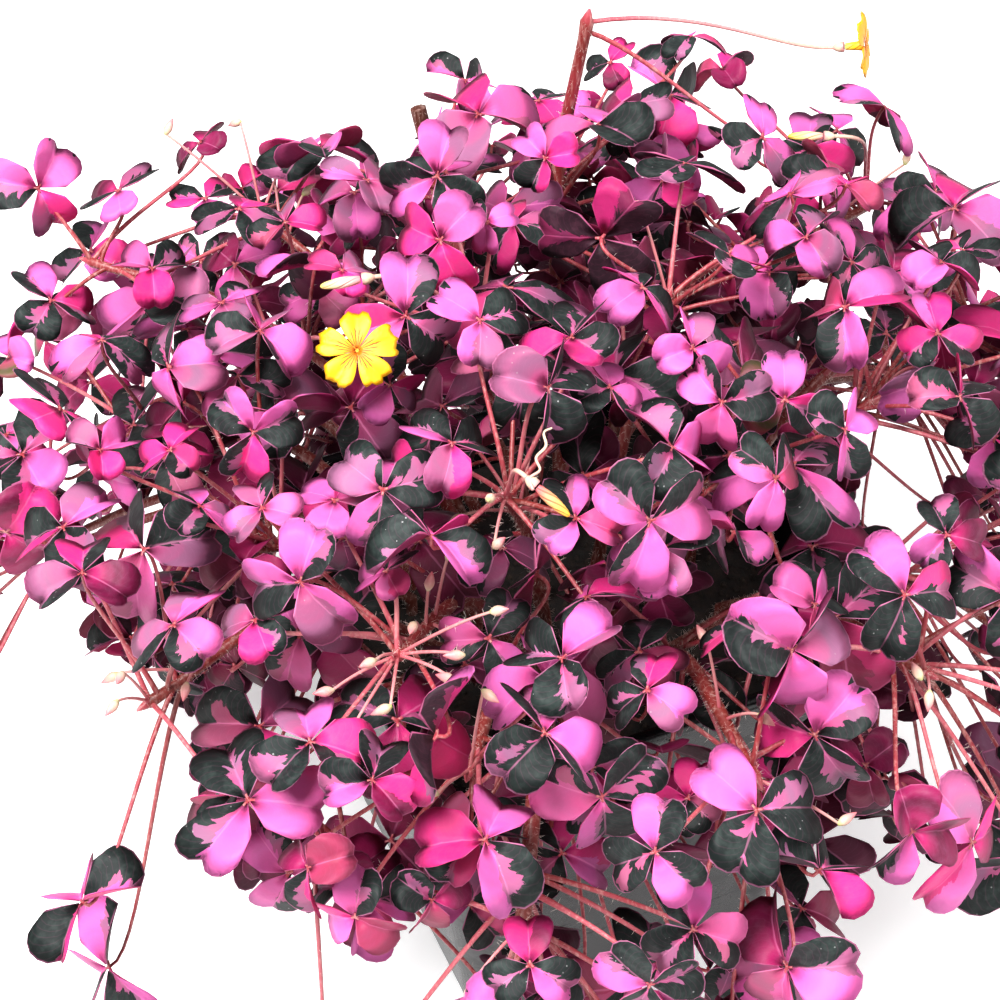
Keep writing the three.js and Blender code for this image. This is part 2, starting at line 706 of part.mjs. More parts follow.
function makeBloom(bloom) {
  const base = bloom.base.clone().addScaledVector(bloom.facing, SEAT_GAP);
  if (!bloom.open) {
    const closed = turned([
      [0, 0],
      [TUBE_FOOT, 0],
      [CLOSED_RADIUS, CLOSED_LENGTH * 0.5],
      [CLOSED_TIP, CLOSED_LENGTH],
      [0, CLOSED_LENGTH],
    ], BLOOM_SIDES);
    return toSolid(aimed(closed, base, bloom.facing));
  }
  const throat = turned([
    [0, 0],
    [TUBE_FOOT, 0],
    [TUBE_RADIUS, TUBE_LENGTH],
    [0, TUBE_LENGTH],
  ], BLOOM_SIDES);
  const petals = corolla();
  petals.translate(0, 0, TUBE_LENGTH);
  return toSolid(aimed(throat, base, bloom.facing))
    .add(toSolid(aimed(petals, base, bloom.facing)));
}

function makeBloomStalk(bloom, start) {
  const foot = bloom.base.clone().addScaledVector(bloom.facing, -CALYX_LENGTH);
  const inCalyx = bloom.base.clone().addScaledVector(bloom.facing, -CALYX_LENGTH * 0.5);
  const reach = foot.distanceTo(start);
  const out = start.clone().lerp(foot, 0.45);
  out.z += reach * 0.12;
  const below = foot.clone().addScaledVector(bloom.facing, -reach * 0.2);
  const curve = new THREE.CubicBezierCurve3(start, out, below, inCalyx);
  const calyx = turned([
    [0, 0],
    [CALYX_FOOT, 0],
    [CALYX_RADIUS, CALYX_LENGTH],
    [0, CALYX_LENGTH],
  ], BLOOM_SIDES);
  return toSolid(tube(curve, BLOOM_STALK, 3, 5)).add(toSolid(aimed(calyx, foot, bloom.facing)));
}

function growBloom(bloom) {
  const stem = STEMS.find((one) => one.name === bloom.stem);
  const node = stem.nodes[stem.nodes.length - 1];
  bloom.solid = makeBloom(bloom);
  const stalk = makeBloomStalk(bloom, stalkFoot(stem, node));
  node.used += 1;
  keep(blades, bloom.name, bloom.solid);
  keep(stalks, stem.name, stalk);
  solidsOf.set(stem.name, solidsOf.get(stem.name).add(stalk));
}

// A nodding bud on a short stalk that leaves the stem in a drawn direction
function makeBud(start, random) {
  const spread = new THREE.Vector3(random() - 0.5, random() - 0.5, random() - 0.35);
  const way = moundNormal(start).multiplyScalar(0.6).addScaledVector(spread, 1.8).normalize();
  const end = start.clone().addScaledVector(way, between(BUD_REACH, random));
  const nod = way.clone().addScaledVector(UP, -0.7).normalize();
  const curve = new THREE.QuadraticBezierCurve3(
    start,
    start.clone().lerp(end, 0.6).addScaledVector(UP, BUD_REACH[0] * 0.2),
    end.clone().addScaledVector(nod, BUD_LENGTH * 0.2),
  );
  const spindle = turned([[0, 0], [BUD_RADIUS, BUD_LENGTH * 0.4], [0, BUD_LENGTH]], 5);
  return toSolid(tube(curve, BUD_STALK, 3, 2)).add(toSolid(aimed(spindle, end, nod)));
}

function growBuds() {
  for (const [stemName, count] of BUD_CLUSTERS) {
    const stem = STEMS.find((one) => one.name === stemName);
    const node = stem.nodes[stem.nodes.length - 1];
    const random = seeded(9000 + STEMS.indexOf(stem));
    const foreign = stalks.filter((stalk) => stalk.owner !== stemName);
    let left = count;
    for (let trial = 0; trial < count * BUD_TRIALS && left > 0; trial += 1) {
      const bud = makeBud(stalkFoot(stem, node), random);
      if (crosses(bud, blades) || crosses(bud, foreign)) continue;
      keep(stalks, stemName, bud);
      solidsOf.set(stemName, solidsOf.get(stemName).add(bud));
      node.used += 1;
      left -= 1;
    }
  }
}

function leafTraits(random) {
  return {
    fold: between(FOLD, random),
    droop: between(DROOP, random),
    width: between(WIDTH, random),
    leanAcross: random() - 0.5,
    leanUp: random() - 0.5,
  };
}

function seenLeaf(row, number) {
  const [across, down, size, turn, edge = 0] = row;
  const leaf = leafTraits(seeded(1000 + number));
  const hub = onMound(across, down);
  leaf.length = size * POINT * hub.distanceTo(eye) / LOOK_DISTANCE;
  const facing = lookBack.clone().multiplyScalar(SEEN_FACING * (1 - edge))
    .addScaledVector(UP, SEEN_UP)
    .addScaledVector(moundNormal(hub), SEEN_OUT * (1 - edge))
    .addScaledVector(lookUp, SEEN_EDGE * edge)
    .addScaledVector(lookRight, SEEN_LEAN * leaf.leanAcross)
    .addScaledVector(lookUp, SEEN_LEAN * leaf.leanUp)
    .normalize();
  const angle = THREE.MathUtils.degToRad(turn);
  leaf.along = lookRight.clone().multiplyScalar(Math.cos(angle))
    .addScaledVector(lookUp, Math.sin(angle));
  leaf.hub = hub;
  leaf.normal = facing;
  return leaf;
}

const hubs = [];

function growSeenLeaves() {
  SEEN_LEAVES.forEach((row, number) => {
    const leaf = seenLeaf(row, number);
    if (tryLeaf(leaf, sightLine(row[0], row[1]))) hubs.push(leaf.hub);
  });
}

// The rest of the mound, all round and down to the lowest leaves, evenly spread
function growFillLeaves() {
  const golden = Math.PI * (3 - Math.sqrt(5));
  for (let i = 0; i < FILL_SAMPLES; i += 1) {
    const step = (i * FILL_STRIDE) % FILL_SAMPLES;
    const random = seeded(5000 + step);
    const leaf = leafTraits(random);
    const z = 1 - (step + 0.5) / FILL_SAMPLES * FILL_DOWN;
    const ring = Math.sqrt(1 - z * z);
    const layer = between(FILL_LAYER, random);
    leaf.hub = new THREE.Vector3(Math.cos(step * golden) * ring, Math.sin(step * golden) * ring, z)
      .multiply(MOUND_HALF).multiplyScalar(layer).add(MOUND_CENTRE);
    const spin = random() * Math.PI * 2;
    leaf.length = between(FILL_LENGTH, random);
    const crowded = hubs.some((other) => other.distanceTo(leaf.hub) < FILL_SPACING);
    if (leaf.hub.z < LOWEST_LEAF || crowded) continue;
    const outward = moundNormal(leaf.hub);
    leaf.along = new THREE.Vector3(Math.cos(spin), Math.sin(spin), 0);
    leaf.normal = outward.clone().multiplyScalar(FILL_OUT)
      .addScaledVector(UP, FILL_UP)
      .add(new THREE.Vector3(leaf.leanAcross, leaf.leanUp, 0).multiplyScalar(FILL_LEAN))
      .normalize();
    placeLeaf(leaf, leaf.hub, leaf.normal, leaf.along);
    if (!showsInGap(leaf) && tryLeaf(leaf, outward)) hubs.push(leaf.hub);
  }
}

const pot = makePot();
STEMS.forEach(growStem);
const holes = STEMS.map((stem) => ({ x: stem.root.x, y: stem.root.y, radius: stem.radius }));
const soil = makeSoil(holes);
keep(stalks, 'pot', pot);
keep(stalks, 'soil', soil);
BLOOMS.forEach(growBloom);

const plant = new THREE.Group();

function addPiece(name, solid, color, roughness) {
  const material = new THREE.MeshStandardMaterial({ color, roughness, metalness: 0 });
  const piece = new THREE.Mesh(fromSolid(solid), material);
  piece.name = name;
  plant.add(piece);
}

growSeenLeaves();
growFillLeaves();
growBuds();

addPiece('pot', pot, 0x141618, 0.28);
addPiece('soil', soil, 0x2a1c14, 0.95);
STEMS.forEach((stem, number) => {
  addPiece(`leafy_stem_${stem.name}`, solidsOf.get(stem.name), PLUMS[number % PLUMS.length], 0.5);
});
BLOOMS.forEach((bloom) => addPiece(bloom.name, bloom.solid, bloom.color, 0.5));

export default plant;
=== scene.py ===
"""A potted plum oxalis: square pot, soil, leafy stems with three-part leaves, buds and blooms.

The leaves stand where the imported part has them, with finer blades, and more leaves fill the mound.
Lengths are millimetres until a mesh is written, which is in metres.
"""

from __future__ import annotations

import logging
import math
from collections.abc import Callable, Iterable
from dataclasses import dataclass, field
from enum import Enum
from functools import cached_property

import bpy
import numpy as np
from mathutils import Matrix, Quaternion, Vector
from mathutils.kdtree import KDTree


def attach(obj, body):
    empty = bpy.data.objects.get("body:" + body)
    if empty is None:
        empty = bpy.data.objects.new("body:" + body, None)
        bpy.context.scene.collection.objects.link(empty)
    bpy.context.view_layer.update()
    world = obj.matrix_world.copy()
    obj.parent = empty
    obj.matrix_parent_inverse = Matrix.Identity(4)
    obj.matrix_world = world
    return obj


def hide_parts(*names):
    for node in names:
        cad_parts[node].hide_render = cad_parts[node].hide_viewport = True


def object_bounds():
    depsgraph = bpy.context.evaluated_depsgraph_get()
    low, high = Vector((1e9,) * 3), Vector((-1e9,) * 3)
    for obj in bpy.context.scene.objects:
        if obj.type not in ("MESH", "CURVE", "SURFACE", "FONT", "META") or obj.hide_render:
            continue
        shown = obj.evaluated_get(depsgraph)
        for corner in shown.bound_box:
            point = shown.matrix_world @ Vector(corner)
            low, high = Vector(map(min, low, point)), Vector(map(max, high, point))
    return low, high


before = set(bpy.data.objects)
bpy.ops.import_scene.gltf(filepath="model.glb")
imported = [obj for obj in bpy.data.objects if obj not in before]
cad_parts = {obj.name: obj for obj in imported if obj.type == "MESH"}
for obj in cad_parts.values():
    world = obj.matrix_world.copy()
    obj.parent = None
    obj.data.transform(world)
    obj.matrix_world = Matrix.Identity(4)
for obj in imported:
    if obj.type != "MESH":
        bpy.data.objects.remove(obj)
CAD_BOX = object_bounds()

log = logging.getLogger("oxalis")

MM = 0.001
UP = Vector((0, 0, 1))
WORD = 0xFFFFFFFF

Colour = tuple[int, int, int]


class Draws:
    """A row of repeatable draws between 0 and 1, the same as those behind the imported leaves."""

    STRIDE = 0x6D2B79F5

    def __init__(self, seed: int) -> None:
        """Starts the row at a seed."""
        self.state = seed & WORD

    @staticmethod
    def _times(a: int, b: int) -> int:
        """The low 32 bits of a product."""
        return (a * b) & WORD

    def next(self) -> float:
        """The next draw."""
        self.state = (self.state + self.STRIDE) & WORD
        t = self._times(self.state ^ (self.state >> 15), self.state | 1)
        t ^= (t + self._times(t ^ (t >> 7), t | 61)) & WORD
        return (t ^ (t >> 14)) / (WORD + 1)

    def between(self, low: float, high: float) -> float:
        """The next draw, spread from low to high."""
        return low + (high - low) * self.next()


@dataclass(frozen=True)
class Pot:
    """Sizes of the square pot and of the soil in it."""

    height: float = 95
    rim_half: float = 52
    base_half: float = 38
    collar: float = 13
    step: float = 2.2
    wall: float = 1.6
    floor: float = 3
    corner: float = 10
    soil_top: float = 84
    soil_gap: float = 0.35
    drain_radius: float = 3.5
    drain_spread: float = 22
    arc_steps: int = 10
    drain_sides: int = 28

    @property
    def collar_foot(self) -> float:
        """Height of the collar's lower edge."""
        return self.height - self.collar

    def wall_half(self, height: float) -> float:
        """Half width of the outer wall below the collar, at a height."""
        under = self.rim_half - self.step - 1
        return self.base_half + (under - self.base_half) * height / self.collar_foot

    def profile(self) -> list[tuple[float, float]]:
        """Half width and height of each ring, from the foot up the outside and down the inside."""
        foot, rim, top = self.collar_foot, self.rim_half, self.height
        return [
            (self.base_half - 1.2, 0),
            (self.base_half - 0.35, 0.3),
            (self.base_half, 1.5),
            (self.wall_half(foot - 0.8), foot - 0.8),
            (rim - 2.6, foot - 0.25),
            (rim - 2.35, foot + 0.5),
            (rim - 1.72, top - 4.3),
            (rim - 1.2, top - 3.6),
            (rim - 0.25, top - 3.1),
            (rim - 0.03, top - 2.4),
            (rim, top - 1.2),
            (rim - 0.4, top - 0.3),
            (rim - 1.2, top),
            (rim - 2.1, top - 0.2),
            (rim - 2.8, top - 0.9),
            (rim - 2.4 - self.wall, foot + 1.2),
            (self.wall_half(foot - 2) - self.wall, foot - 2),
            (self.wall_half(self.floor + 1) - self.wall, self.floor + 1),
            (self.wall_half(self.floor) - self.wall - 1, self.floor),
        ]

    def ring(self, half: float, height: float, steps: int | None = None) -> list[Vector]:
        """Corner arcs of one level of the pot.

        Args:
            half: half the width of the square.
            height: level of the ring.
            steps: pieces of each corner arc.

        Returns:
            The ring's points, in order round the pot.
        """
        steps = steps or self.arc_steps
        radius = self.corner * half / self.rim_half
        straight = half - radius
        points = []
        for quarter in range(4):
            sign_x = 1 if quarter in (0, 3) else -1
            sign_y = 1 if quarter in (0, 1) else -1
            for i in range(steps + 1):
                angle = (quarter + i / steps) * math.pi / 2
                x = sign_x * straight + radius * math.cos(angle)
                y = sign_y * straight + radius * math.sin(angle)
                points.append(Vector((x, y, height)))
        return points


@dataclass(frozen=True)
class Look:
    """Where the picture is taken from, in picture points across and down a square of 1000."""

    azimuth: float = -24
    elevation: float = 42
    distance: float = 440
    point: float = 0.21
    middle: float = 500
    aim_across: float = -14
    aim_up: float = 12
    aim_height: float = 95

    @cached_property
    def back(self) -> Vector:
        """Direction from the aim to the eye."""
        a, e = math.radians(self.azimuth), math.radians(self.elevation)
        return Vector((math.sin(a) * math.cos(e), -math.cos(a) * math.cos(e), math.sin(e)))

    @cached_property
    def right(self) -> Vector:
        """Direction to the right of the picture."""
        a = math.radians(self.azimuth)
        return Vector((math.cos(a), math.sin(a), 0))

    @cached_property
    def up(self) -> Vector:
        """Direction to the top of the picture."""
        return self.back.cross(self.right)

    @cached_property
    def eye(self) -> Vector:
        """The eye's place."""
        aim = Vector((0, 0, self.aim_height)) + self.right * self.aim_across + self.up * self.aim_up
        return aim + self.back * self.distance

    def line(self, across: float, down: float) -> Vector:
        """Direction of sight through a picture place."""
        side = self.right * ((across - self.middle) * self.point)
        rise = self.up * ((self.middle - down) * self.point)
        return (self.back * -self.distance + side + rise).normalized()

    def seen_at(self, point: Vector) -> tuple[float, float]:
        """The picture place at which a point is seen."""
        off = point - self.eye
        scale = -self.distance / off.dot(self.back) / self.point
        return self.middle + off.dot(self.right) * scale, self.middle - off.dot(self.up) * scale

    def at_height(self, across: float, down: float, height: float) -> Vector:
        """The point seen at a picture place, at a height over the table."""
        line = self.line(across, down)
        return self.eye + line * ((height - self.eye.z) / line.z)


@dataclass(frozen=True)
class Mound:
    """The rounded heap that the leaves lie on."""

    look: Look
    centre: Vector = field(default_factory=lambda: Vector((0, 0, 78)))
    half: Vector = field(default_factory=lambda: Vector((130, 118, 105)))

    TURN = math.pi * (3 - math.sqrt(5))

    def seen(self, across: float, down: float, layer: float = 1) -> Vector:
        """The point seen at a picture place, on the mound scaled by layer about its centre."""
        line, half = self.look.line(across, down), self.half * layer
        start = Vector((self.look.eye[i] - self.centre[i]) / half[i] for i in range(3))
        way = Vector(line[i] / half[i] for i in range(3))
        a, b, c = way.dot(way), start.dot(way), start.dot(start) - 1
        root = math.sqrt(max(b * b - a * c, 0))
        return self.look.eye + line * ((-b - root) / a)

    def spot(self, step: int, count: int, down: float, layer: float) -> Vector:
        """One of many even spots on a layer of the mound, counted along a golden spiral."""
        z = 1 - (step + 0.5) / count * down
        ring = math.sqrt(1 - z * z)
        angle = step * self.TURN
        unit = (math.cos(angle) * ring, math.sin(angle) * ring, z)
        return Vector(unit[i] * self.half[i] * layer for i in range(3)) + self.centre

    def outward(self, point: Vector) -> Vector:
        """Direction away from the mound at a point."""
        off = point - self.centre
        return Vector(off[i] / self.half[i] ** 2 for i in range(3)).normalized()

    def layer(self, point: Vector) -> float:
        """How far out a point lies, 1 on the mound's own surface."""
        off = point - self.centre
        return Vector(off[i] / self.half[i] for i in range(3)).length


POT = Pot()
LOOK = Look()
MOUND = Mound(LOOK)


class Tint(Enum):
    """Colours of a leaflet's half, by the letter that the leaf tables give them."""

    PINK = "P"
    CHARCOAL = "C"
    MAUVE = "M"
    HOT = "H"
    DEEP = "D"
    OLIVE = "O"

    @property
    def number(self) -> int:
        """Place of the tint in the order above."""
        return list(Tint).index(self)


def light(red: float, green: float, blue: float) -> tuple[float, float, float, float]:
    """A colour of 255 as light values with full alpha."""
    shares = (value / 255 for value in (red, green, blue))
    return (*(s / 12.92 if s <= 0.04045 else ((s + 0.055) / 1.055) ** 2.4 for s in shares), 1.0)


# Leaves seen in the picture: across, down, leaflet length in picture points, turn of the first
# leaflet in degrees, the tints of its leaflets and, where it is tipped on edge, how far. Of the two
# letters of a leaflet, the first is the half towards the next leaflet.
SEEN_LEAVES = [
    (38, 188, 50, 55, "PP CP HM"), (118, 190, 45, 60, "MC CD PP"),
    (90, 251, 50, 100, "CP CC HP"), (51, 300, 48, 120, "CP CC HC"),
    (205, 198, 40, 60, "HC HC PP"), (315, 146, 68, 0, "CP PP CC", 0.5),
    (367, 180, 50, 180, "PM MM MM"), (437, 176, 58, 195, "PC CC PM"),
    (465, 80, 42, 160, "PC PM CP"), (285, 222, 42, 110, "CM DC HH"),
    (440, 240, 55, 165, "HH HH PP"), (670, 95, 56, 145, "PC HD CC"),
    (686, 163, 62, 90, "CC CC CC", 0.6), (763, 137, 50, 75, "PP CC PM", 0.3),
    (885, 106, 48, 200, "CP PC HD", 0.4), (936, 192, 48, -45, "PC PC CC"),
    (806, 237, 46, 175, "CP MP CC", 0.4), (852, 262, 52, 120, "CP CC CC"),
    (942, 262, 46, 90, "CC PP CP"), (45, 340, 50, 175, "OO HH CM"),
    (168, 367, 58, 130, "CC PP PM"), (260, 331, 56, 75, "PM MC PC"),
    (100, 450, 40, 45, "PP CM HH"), (63, 527, 62, 65, "MP HC CC"),
    (262, 508, 45, 110, "MC MP PP"), (253, 432, 52, 15, "PC CP HC"),
    (406, 316, 62, 85, "PC PH CC"), (452, 443, 55, 140, "PC HM CC"),
    (383, 490, 60, 140, "MC CP CC"), (335, 500, 50, 130, "PP PP PM"),
    (571, 337, 60, 95, "CC PH CH"), (548, 388, 62, 170, "MM CC CC"),
    (693, 348, 46, 80, "PM PP PH"), (722, 402, 52, 135, "PC PP CC"),
    (672, 447, 60, 120, "MC CC PP"), (845, 307, 60, -85, "PC PH DD"),
    (960, 397, 55, 185, "CC CD HC"), (845, 430, 52, -85, "CP PP CC"),
    (776, 478, 55, 150, "PC PP CD"), (82, 573, 55, 225, "CM DD HC"),
    (173, 625, 62, 90, "MP CM PC"), (300, 582, 68, 65, "PC CP PM"),
    (255, 620, 55, -65, "CH CC MM"), (310, 742, 66, 105, "MP CC HC"),
    (576, 518, 52, 100, "CP PC HP"), (650, 521, 72, 255, "PC CP PC"),
    (562, 658, 68, 150, "CC CC PM"), (545, 733, 70, 90, "CP CC PC"),
    (647, 690, 50, 95, "CH CC PM"), (792, 650, 76, 25, "CM CP PP"),
    (815, 735, 72, 50, "PC HC CC"), (905, 595, 66, 125, "CP CC HC", 0.3),
    (947, 535, 45, 230, "CP DD CC", 0.3), (1010, 595, 68, 160, "CP CC HC"),
    (82, 902, 68, 0, "CP PP HC", 0.85), (248, 800, 84, 245, "PC PP CC"),
    (372, 780, 55, 195, "PC HD CC"), (355, 917, 52, 80, "PC PH DD"),
    (485, 840, 74, 185, "HH CP PP", 0.3), (602, 797, 72, 285, "CP CC PC"),
    (693, 930, 54, 100, "CP CC PC"), (787, 967, 74, 10, "CP DD PM", 0.4),
    (820, 870, 62, 175, "CC HC CC", 0.4), (972, 843, 74, 130, "PM PH HD"),
    (912, 832, 58, 235, "PC DD DD"), (1030, 860, 82, 195, "CC CP PP"),
    (757, 810, 78, 15, "CC PP CC"),
]

# Smaller and half hidden leaves between them, which only the picture's side needs
MORE_LEAVES = [
    (663, 180, 50, 105, "MM CP PH"), (727, 122, 40, 150, "PC PP CC"),
    (238, 376, 50, 110, "CP MP CC"), (785, 400, 50, 90, "PP OP HC"),
    (562, 853, 62, 100, "CH CC HP"), (688, 798, 44, 80, "HH CH MC"),
    (660, 962, 50, 185, "PC PP CC", 0.4), (872, 815, 54, 88, "CP DD MM", 0.4),
    (47, 508, 72, 215, "CP CC PP"), (480, 320, 55, -100, "MP CC PP"),
    (222, 302, 48, 175, "PM MM CP"), (938, 333, 48, 90, "PH CH HC"),
    (446, 172, 45, 70, "CP CC MM"), (748, 405, 48, 180, "OP CC OP", 0.3),
    (735, 531, 50, 180, "PP PC PC", 0.8), (735, 628, 45, 180, "HC HP CC", 0.8),
    (962, 250, 40, -120, "PC CC HC"), (545, 158, 38, 130, "PP HC HH"),
    (730, 255, 48, 110, "CC CC PP", 0.3), (994, 438, 55, -90, "CP CC CC"),
    (416, 485, 52, 10, "PM PH CC"), (893, 272, 45, -60, "PC DD CC"),
    (643, 287, 50, 85, "PC PP CP"), (610, 387, 45, -30, "PC PP CC"),
    (152, 268, 42, 150, "PP HH CC"), (200, 142, 36, 200, "DD DD DD"),
    (126, 152, 32, 100, "HP HH HH"), (242, 188, 30, 60, "HH HH CC"),
    (487, 222, 32, -100, "PP PP CC"), (692, 36, 36, 100, "CP CC HC", 0.5),
    (722, 68, 36, 150, "HD DD HC"), (610, 62, 32, -60, "HD HH CC"),
    (538, 100, 40, 180, "HC HH CC"), (966, 168, 40, -60, "CP CC HC", 0.5),
    (846, 185, 40, 195, "PD DD HH"), (8, 357, 45, -20, "PO PP CC"),
    (170, 450, 38, 80, "HH HH HC"), (26, 440, 45, 60, "CD CC HC"),
    (200, 506, 45, 95, "CP CC MP", 0.3), (342, 270, 38, 160, "HH HH MM"),
    (390, 385, 45, 215, "PP HM CC"), (725, 420, 45, -100, "PC HH CC"),
    (184, 665, 58, -25, "CP HH OO"), (386, 571, 40, 170, "PP HP CC"),
    (664, 548, 60, 280, "MP CC PP"), (767, 637, 46, 60, "PC CC HC"),
    (815, 605, 54, 30, "PC PP HH"), (108, 881, 60, 10, "DD CC DD", 0.9),
    (308, 868, 50, 150, "DD HC DD", 0.4), (432, 900, 46, -90, "DD DD CC"),
    (866, 765, 48, 160, "HD DD DD"), (738, 806, 78, -60, "CC CC CP"),
    (612, 800, 58, 200, "CC CP HC"), (655, 852, 58, 80, "PC CC CP"),
    (715, 876, 55, 150, "CC CP HD"), (592, 768, 60, 30, "CC CC PC"),
    (598, 872, 55, -40, "CP CC PC"), (560, 822, 60, 120, "PM CC CP"),
    (672, 800, 46, 60, "HH HH CC"), (640, 905, 52, 100, "DD CC CP"),
    (690, 925, 50, 20, "PC HC CC"), (470, 905, 52, 60, "CC PC HC"),
    (560, 900, 50, 140, "CP CC DD"), (600, 950, 54, 20, "CC PC CC"),
    (530, 965, 50, 90, "HD CC CP"), (455, 960, 50, 10, "CC DD PC"),
    (650, 985, 56, 130, "PC CC CC"),
]

# A wilted pale bloom stalk that curls over the faded bloom: across and down
WILTED_CURL = [(552, 428), (544, 432), (546, 446), (536, 458), (540, 470), (530, 478), (533, 490)]

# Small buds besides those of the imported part: across and down
MORE_BUDS = [
    (165, 135), (176, 146), (241, 121), (232, 130), (285, 160), (300, 150), (349, 712), (372, 730),
    (345, 745), (334, 690), (376, 660), (392, 706), (465, 655), (455, 680), (482, 690), (493, 548),
    (490, 612), (438, 795), (446, 804), (742, 772), (838, 825), (846, 838), (470, 985), (930, 690),
    (922, 680), (123, 672), (118, 700), (500, 492), (488, 500), (640, 205), (905, 165),
]

# Gaps in which the picture shows no leaf: across, down and radius in picture points
GAPS = [
    (90, 770, 100), (180, 965, 95), (20, 655, 55), (130, 550, 32), (90, 388, 18), (50, 90, 75),
    (270, 88, 50), (390, 105, 32), (545, 45, 32), (800, 70, 38), (945, 70, 70), (728, 182, 24),
    (840, 290, 16), (862, 412, 18), (905, 462, 42), (912, 512, 28), (948, 608, 26), (898, 632, 20),
    (815, 838, 28), (630, 862, 18), (612, 905, 14), (730, 895, 18), (960, 965, 95), (930, 752, 22),
    (290, 960, 45), (420, 975, 40), (20, 30, 110), (130, 40, 80), (200, 90, 35), (330, 60, 60),
    (450, 20, 50), (530, 10, 45), (790, 20, 50), (900, 10, 70), (985, 130, 40), (170, 1040, 130),
    (330, 1030, 70), (900, 1010, 60), (500, 145, 12), (602, 205, 12), (775, 120, 12),
]

# Shares of whole leaflets on the leaves that no table names, as pairs of tint letters
FILL_PAIRS = "PC CP CC PC CP PP CC PM CM MC HC CH HH PP CC MC MP CP PC DD DH MM PM CC".split()
# Darker pairs for the inner layers: partly the leaves' own dark tints, partly painted shade of the
# leaves above.
INNER_SHADE_PAIRS = "HD DD CC MM DD HC CC DD MC HH CD DH".split()


@dataclass
class Node:
    """A place on a stem from which leaf stalks spread."""

    place: Vector
    ring: int
    used: int = 0


@dataclass
class Stem:
    """One stem: where it comes to its nodes, how thick it is and what grows at its tip."""

    name: str
    radius: float
    places: list[Vector]
    stump: Vector | None = None
    buds: int = 0
    nodes: list[Node] = field(default_factory=list)
    path: list[Vector] = field(default_factory=list)
    coarse: list[Vector] = field(default_factory=list)

    DEPTH = 12
    UPRIGHT = 3
    STEPS = 12
    STAGGER = 1.9
    STAGGER_MOST = 11
    ROOT_SHARE = 0.32
    ROOT_REACH = 33
    RISE = 0.62
    ARCH_FROM = 45
    ARCH = 0.28

    def grow(self) -> None:
        """Works out the stem's line from the soil to its last node."""
        first = self.places[0]
        reach = math.hypot(first.x, first.y)
        share = min(self.ROOT_SHARE, self.ROOT_REACH / reach)
        root = Vector((first.x * share, first.y * share, POT.soil_top - self.DEPTH))
        above = Vector((root.x, root.y, POT.soil_top + self.UPRIGHT))
        half = above.lerp(first, 0.5)
        arch = max(0, reach - self.ARCH_FROM) * self.ARCH
        half.z = above.z + max(first.z - above.z, 0) * self.RISE + arch
        points = [above, half, *self.places] + ([self.stump] if self.stump else [])
        stretches = len(points) - 1
        self.coarse = [root] + [smooth_point(points, i / 2) for i in range(stretches * 2 + 1)]
        fine = range(stretches * self.STEPS + 1)
        self.path = [root] + [smooth_point(points, i / self.STEPS) for i in fine]
        self.nodes = [Node(place, i * 2 + 5) for i, place in enumerate(self.places)]

    def foot(self, node: Node) -> Vector:
        """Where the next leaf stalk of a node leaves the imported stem."""
        left = min(node.used, self.STAGGER_MOST) * self.STAGGER
        for ring in range(node.ring, 1, -1):
            near, far = self.coarse[ring], self.coarse[ring - 1]
            length = (near - far).length
            if left < length:
                return near.lerp(far, left / length)
            left -= length
        return self.coarse[1].copy()

    def nearest(self, point: Vector) -> Vector:
        """The point of the stem's line that is nearest to a point."""
        best, least = self.path[-1], math.inf
        for a, b in zip(self.path, self.path[1:]):
            along = b - a
            share = min(max((point - a).dot(along) / along.length_squared, 0), 1)
            place = a + along * share
            if (place - point).length < least:
                best, least = place, (place - point).length
        return best


def smooth_point(points: list[Vector], place: float) -> Vector:
    """A point of the smooth curve through points, its pace eased by the root of their spacing.

    Args:
        points: the points that the curve passes.
        place: number of the point, with a share of the stretch to the next.

    Returns:
        The point of the curve.
    """
    i = min(int(place), len(points) - 2)
    share = place - i
    p1, p2 = points[i], points[i + 1]
    p0 = points[i - 1] if i > 0 else p1 * 2 - p2
    p3 = points[i + 2] if i + 2 < len(points) else p2 * 2 - p1
    d0, d1, d2 = (math.sqrt((b - a).length) for a, b in ((p0, p1), (p1, p2), (p2, p3)))
    t1 = ((p1 - p0) / d0 - (p2 - p0) / (d0 + d1) + (p2 - p1) / d1) * d1
    t2 = ((p2 - p1) / d1 - (p3 - p1) / (d1 + d2) + (p3 - p2) / d2) * d1
    c2 = (p2 - p1) * 3 - t1 * 2 - t2
    c3 = (p1 - p2) * 2 + t1 + t2
    return p1 + t1 * share + c2 * share**2 + c3 * share**3


def bezier(points: list[Vector], share: float) -> Vector:
    """A point of a Bezier curve with any number of control points."""
    while len(points) > 1:
        points = [a.lerp(b, share) for a, b in zip(points, points[1:])]
    return points[0]


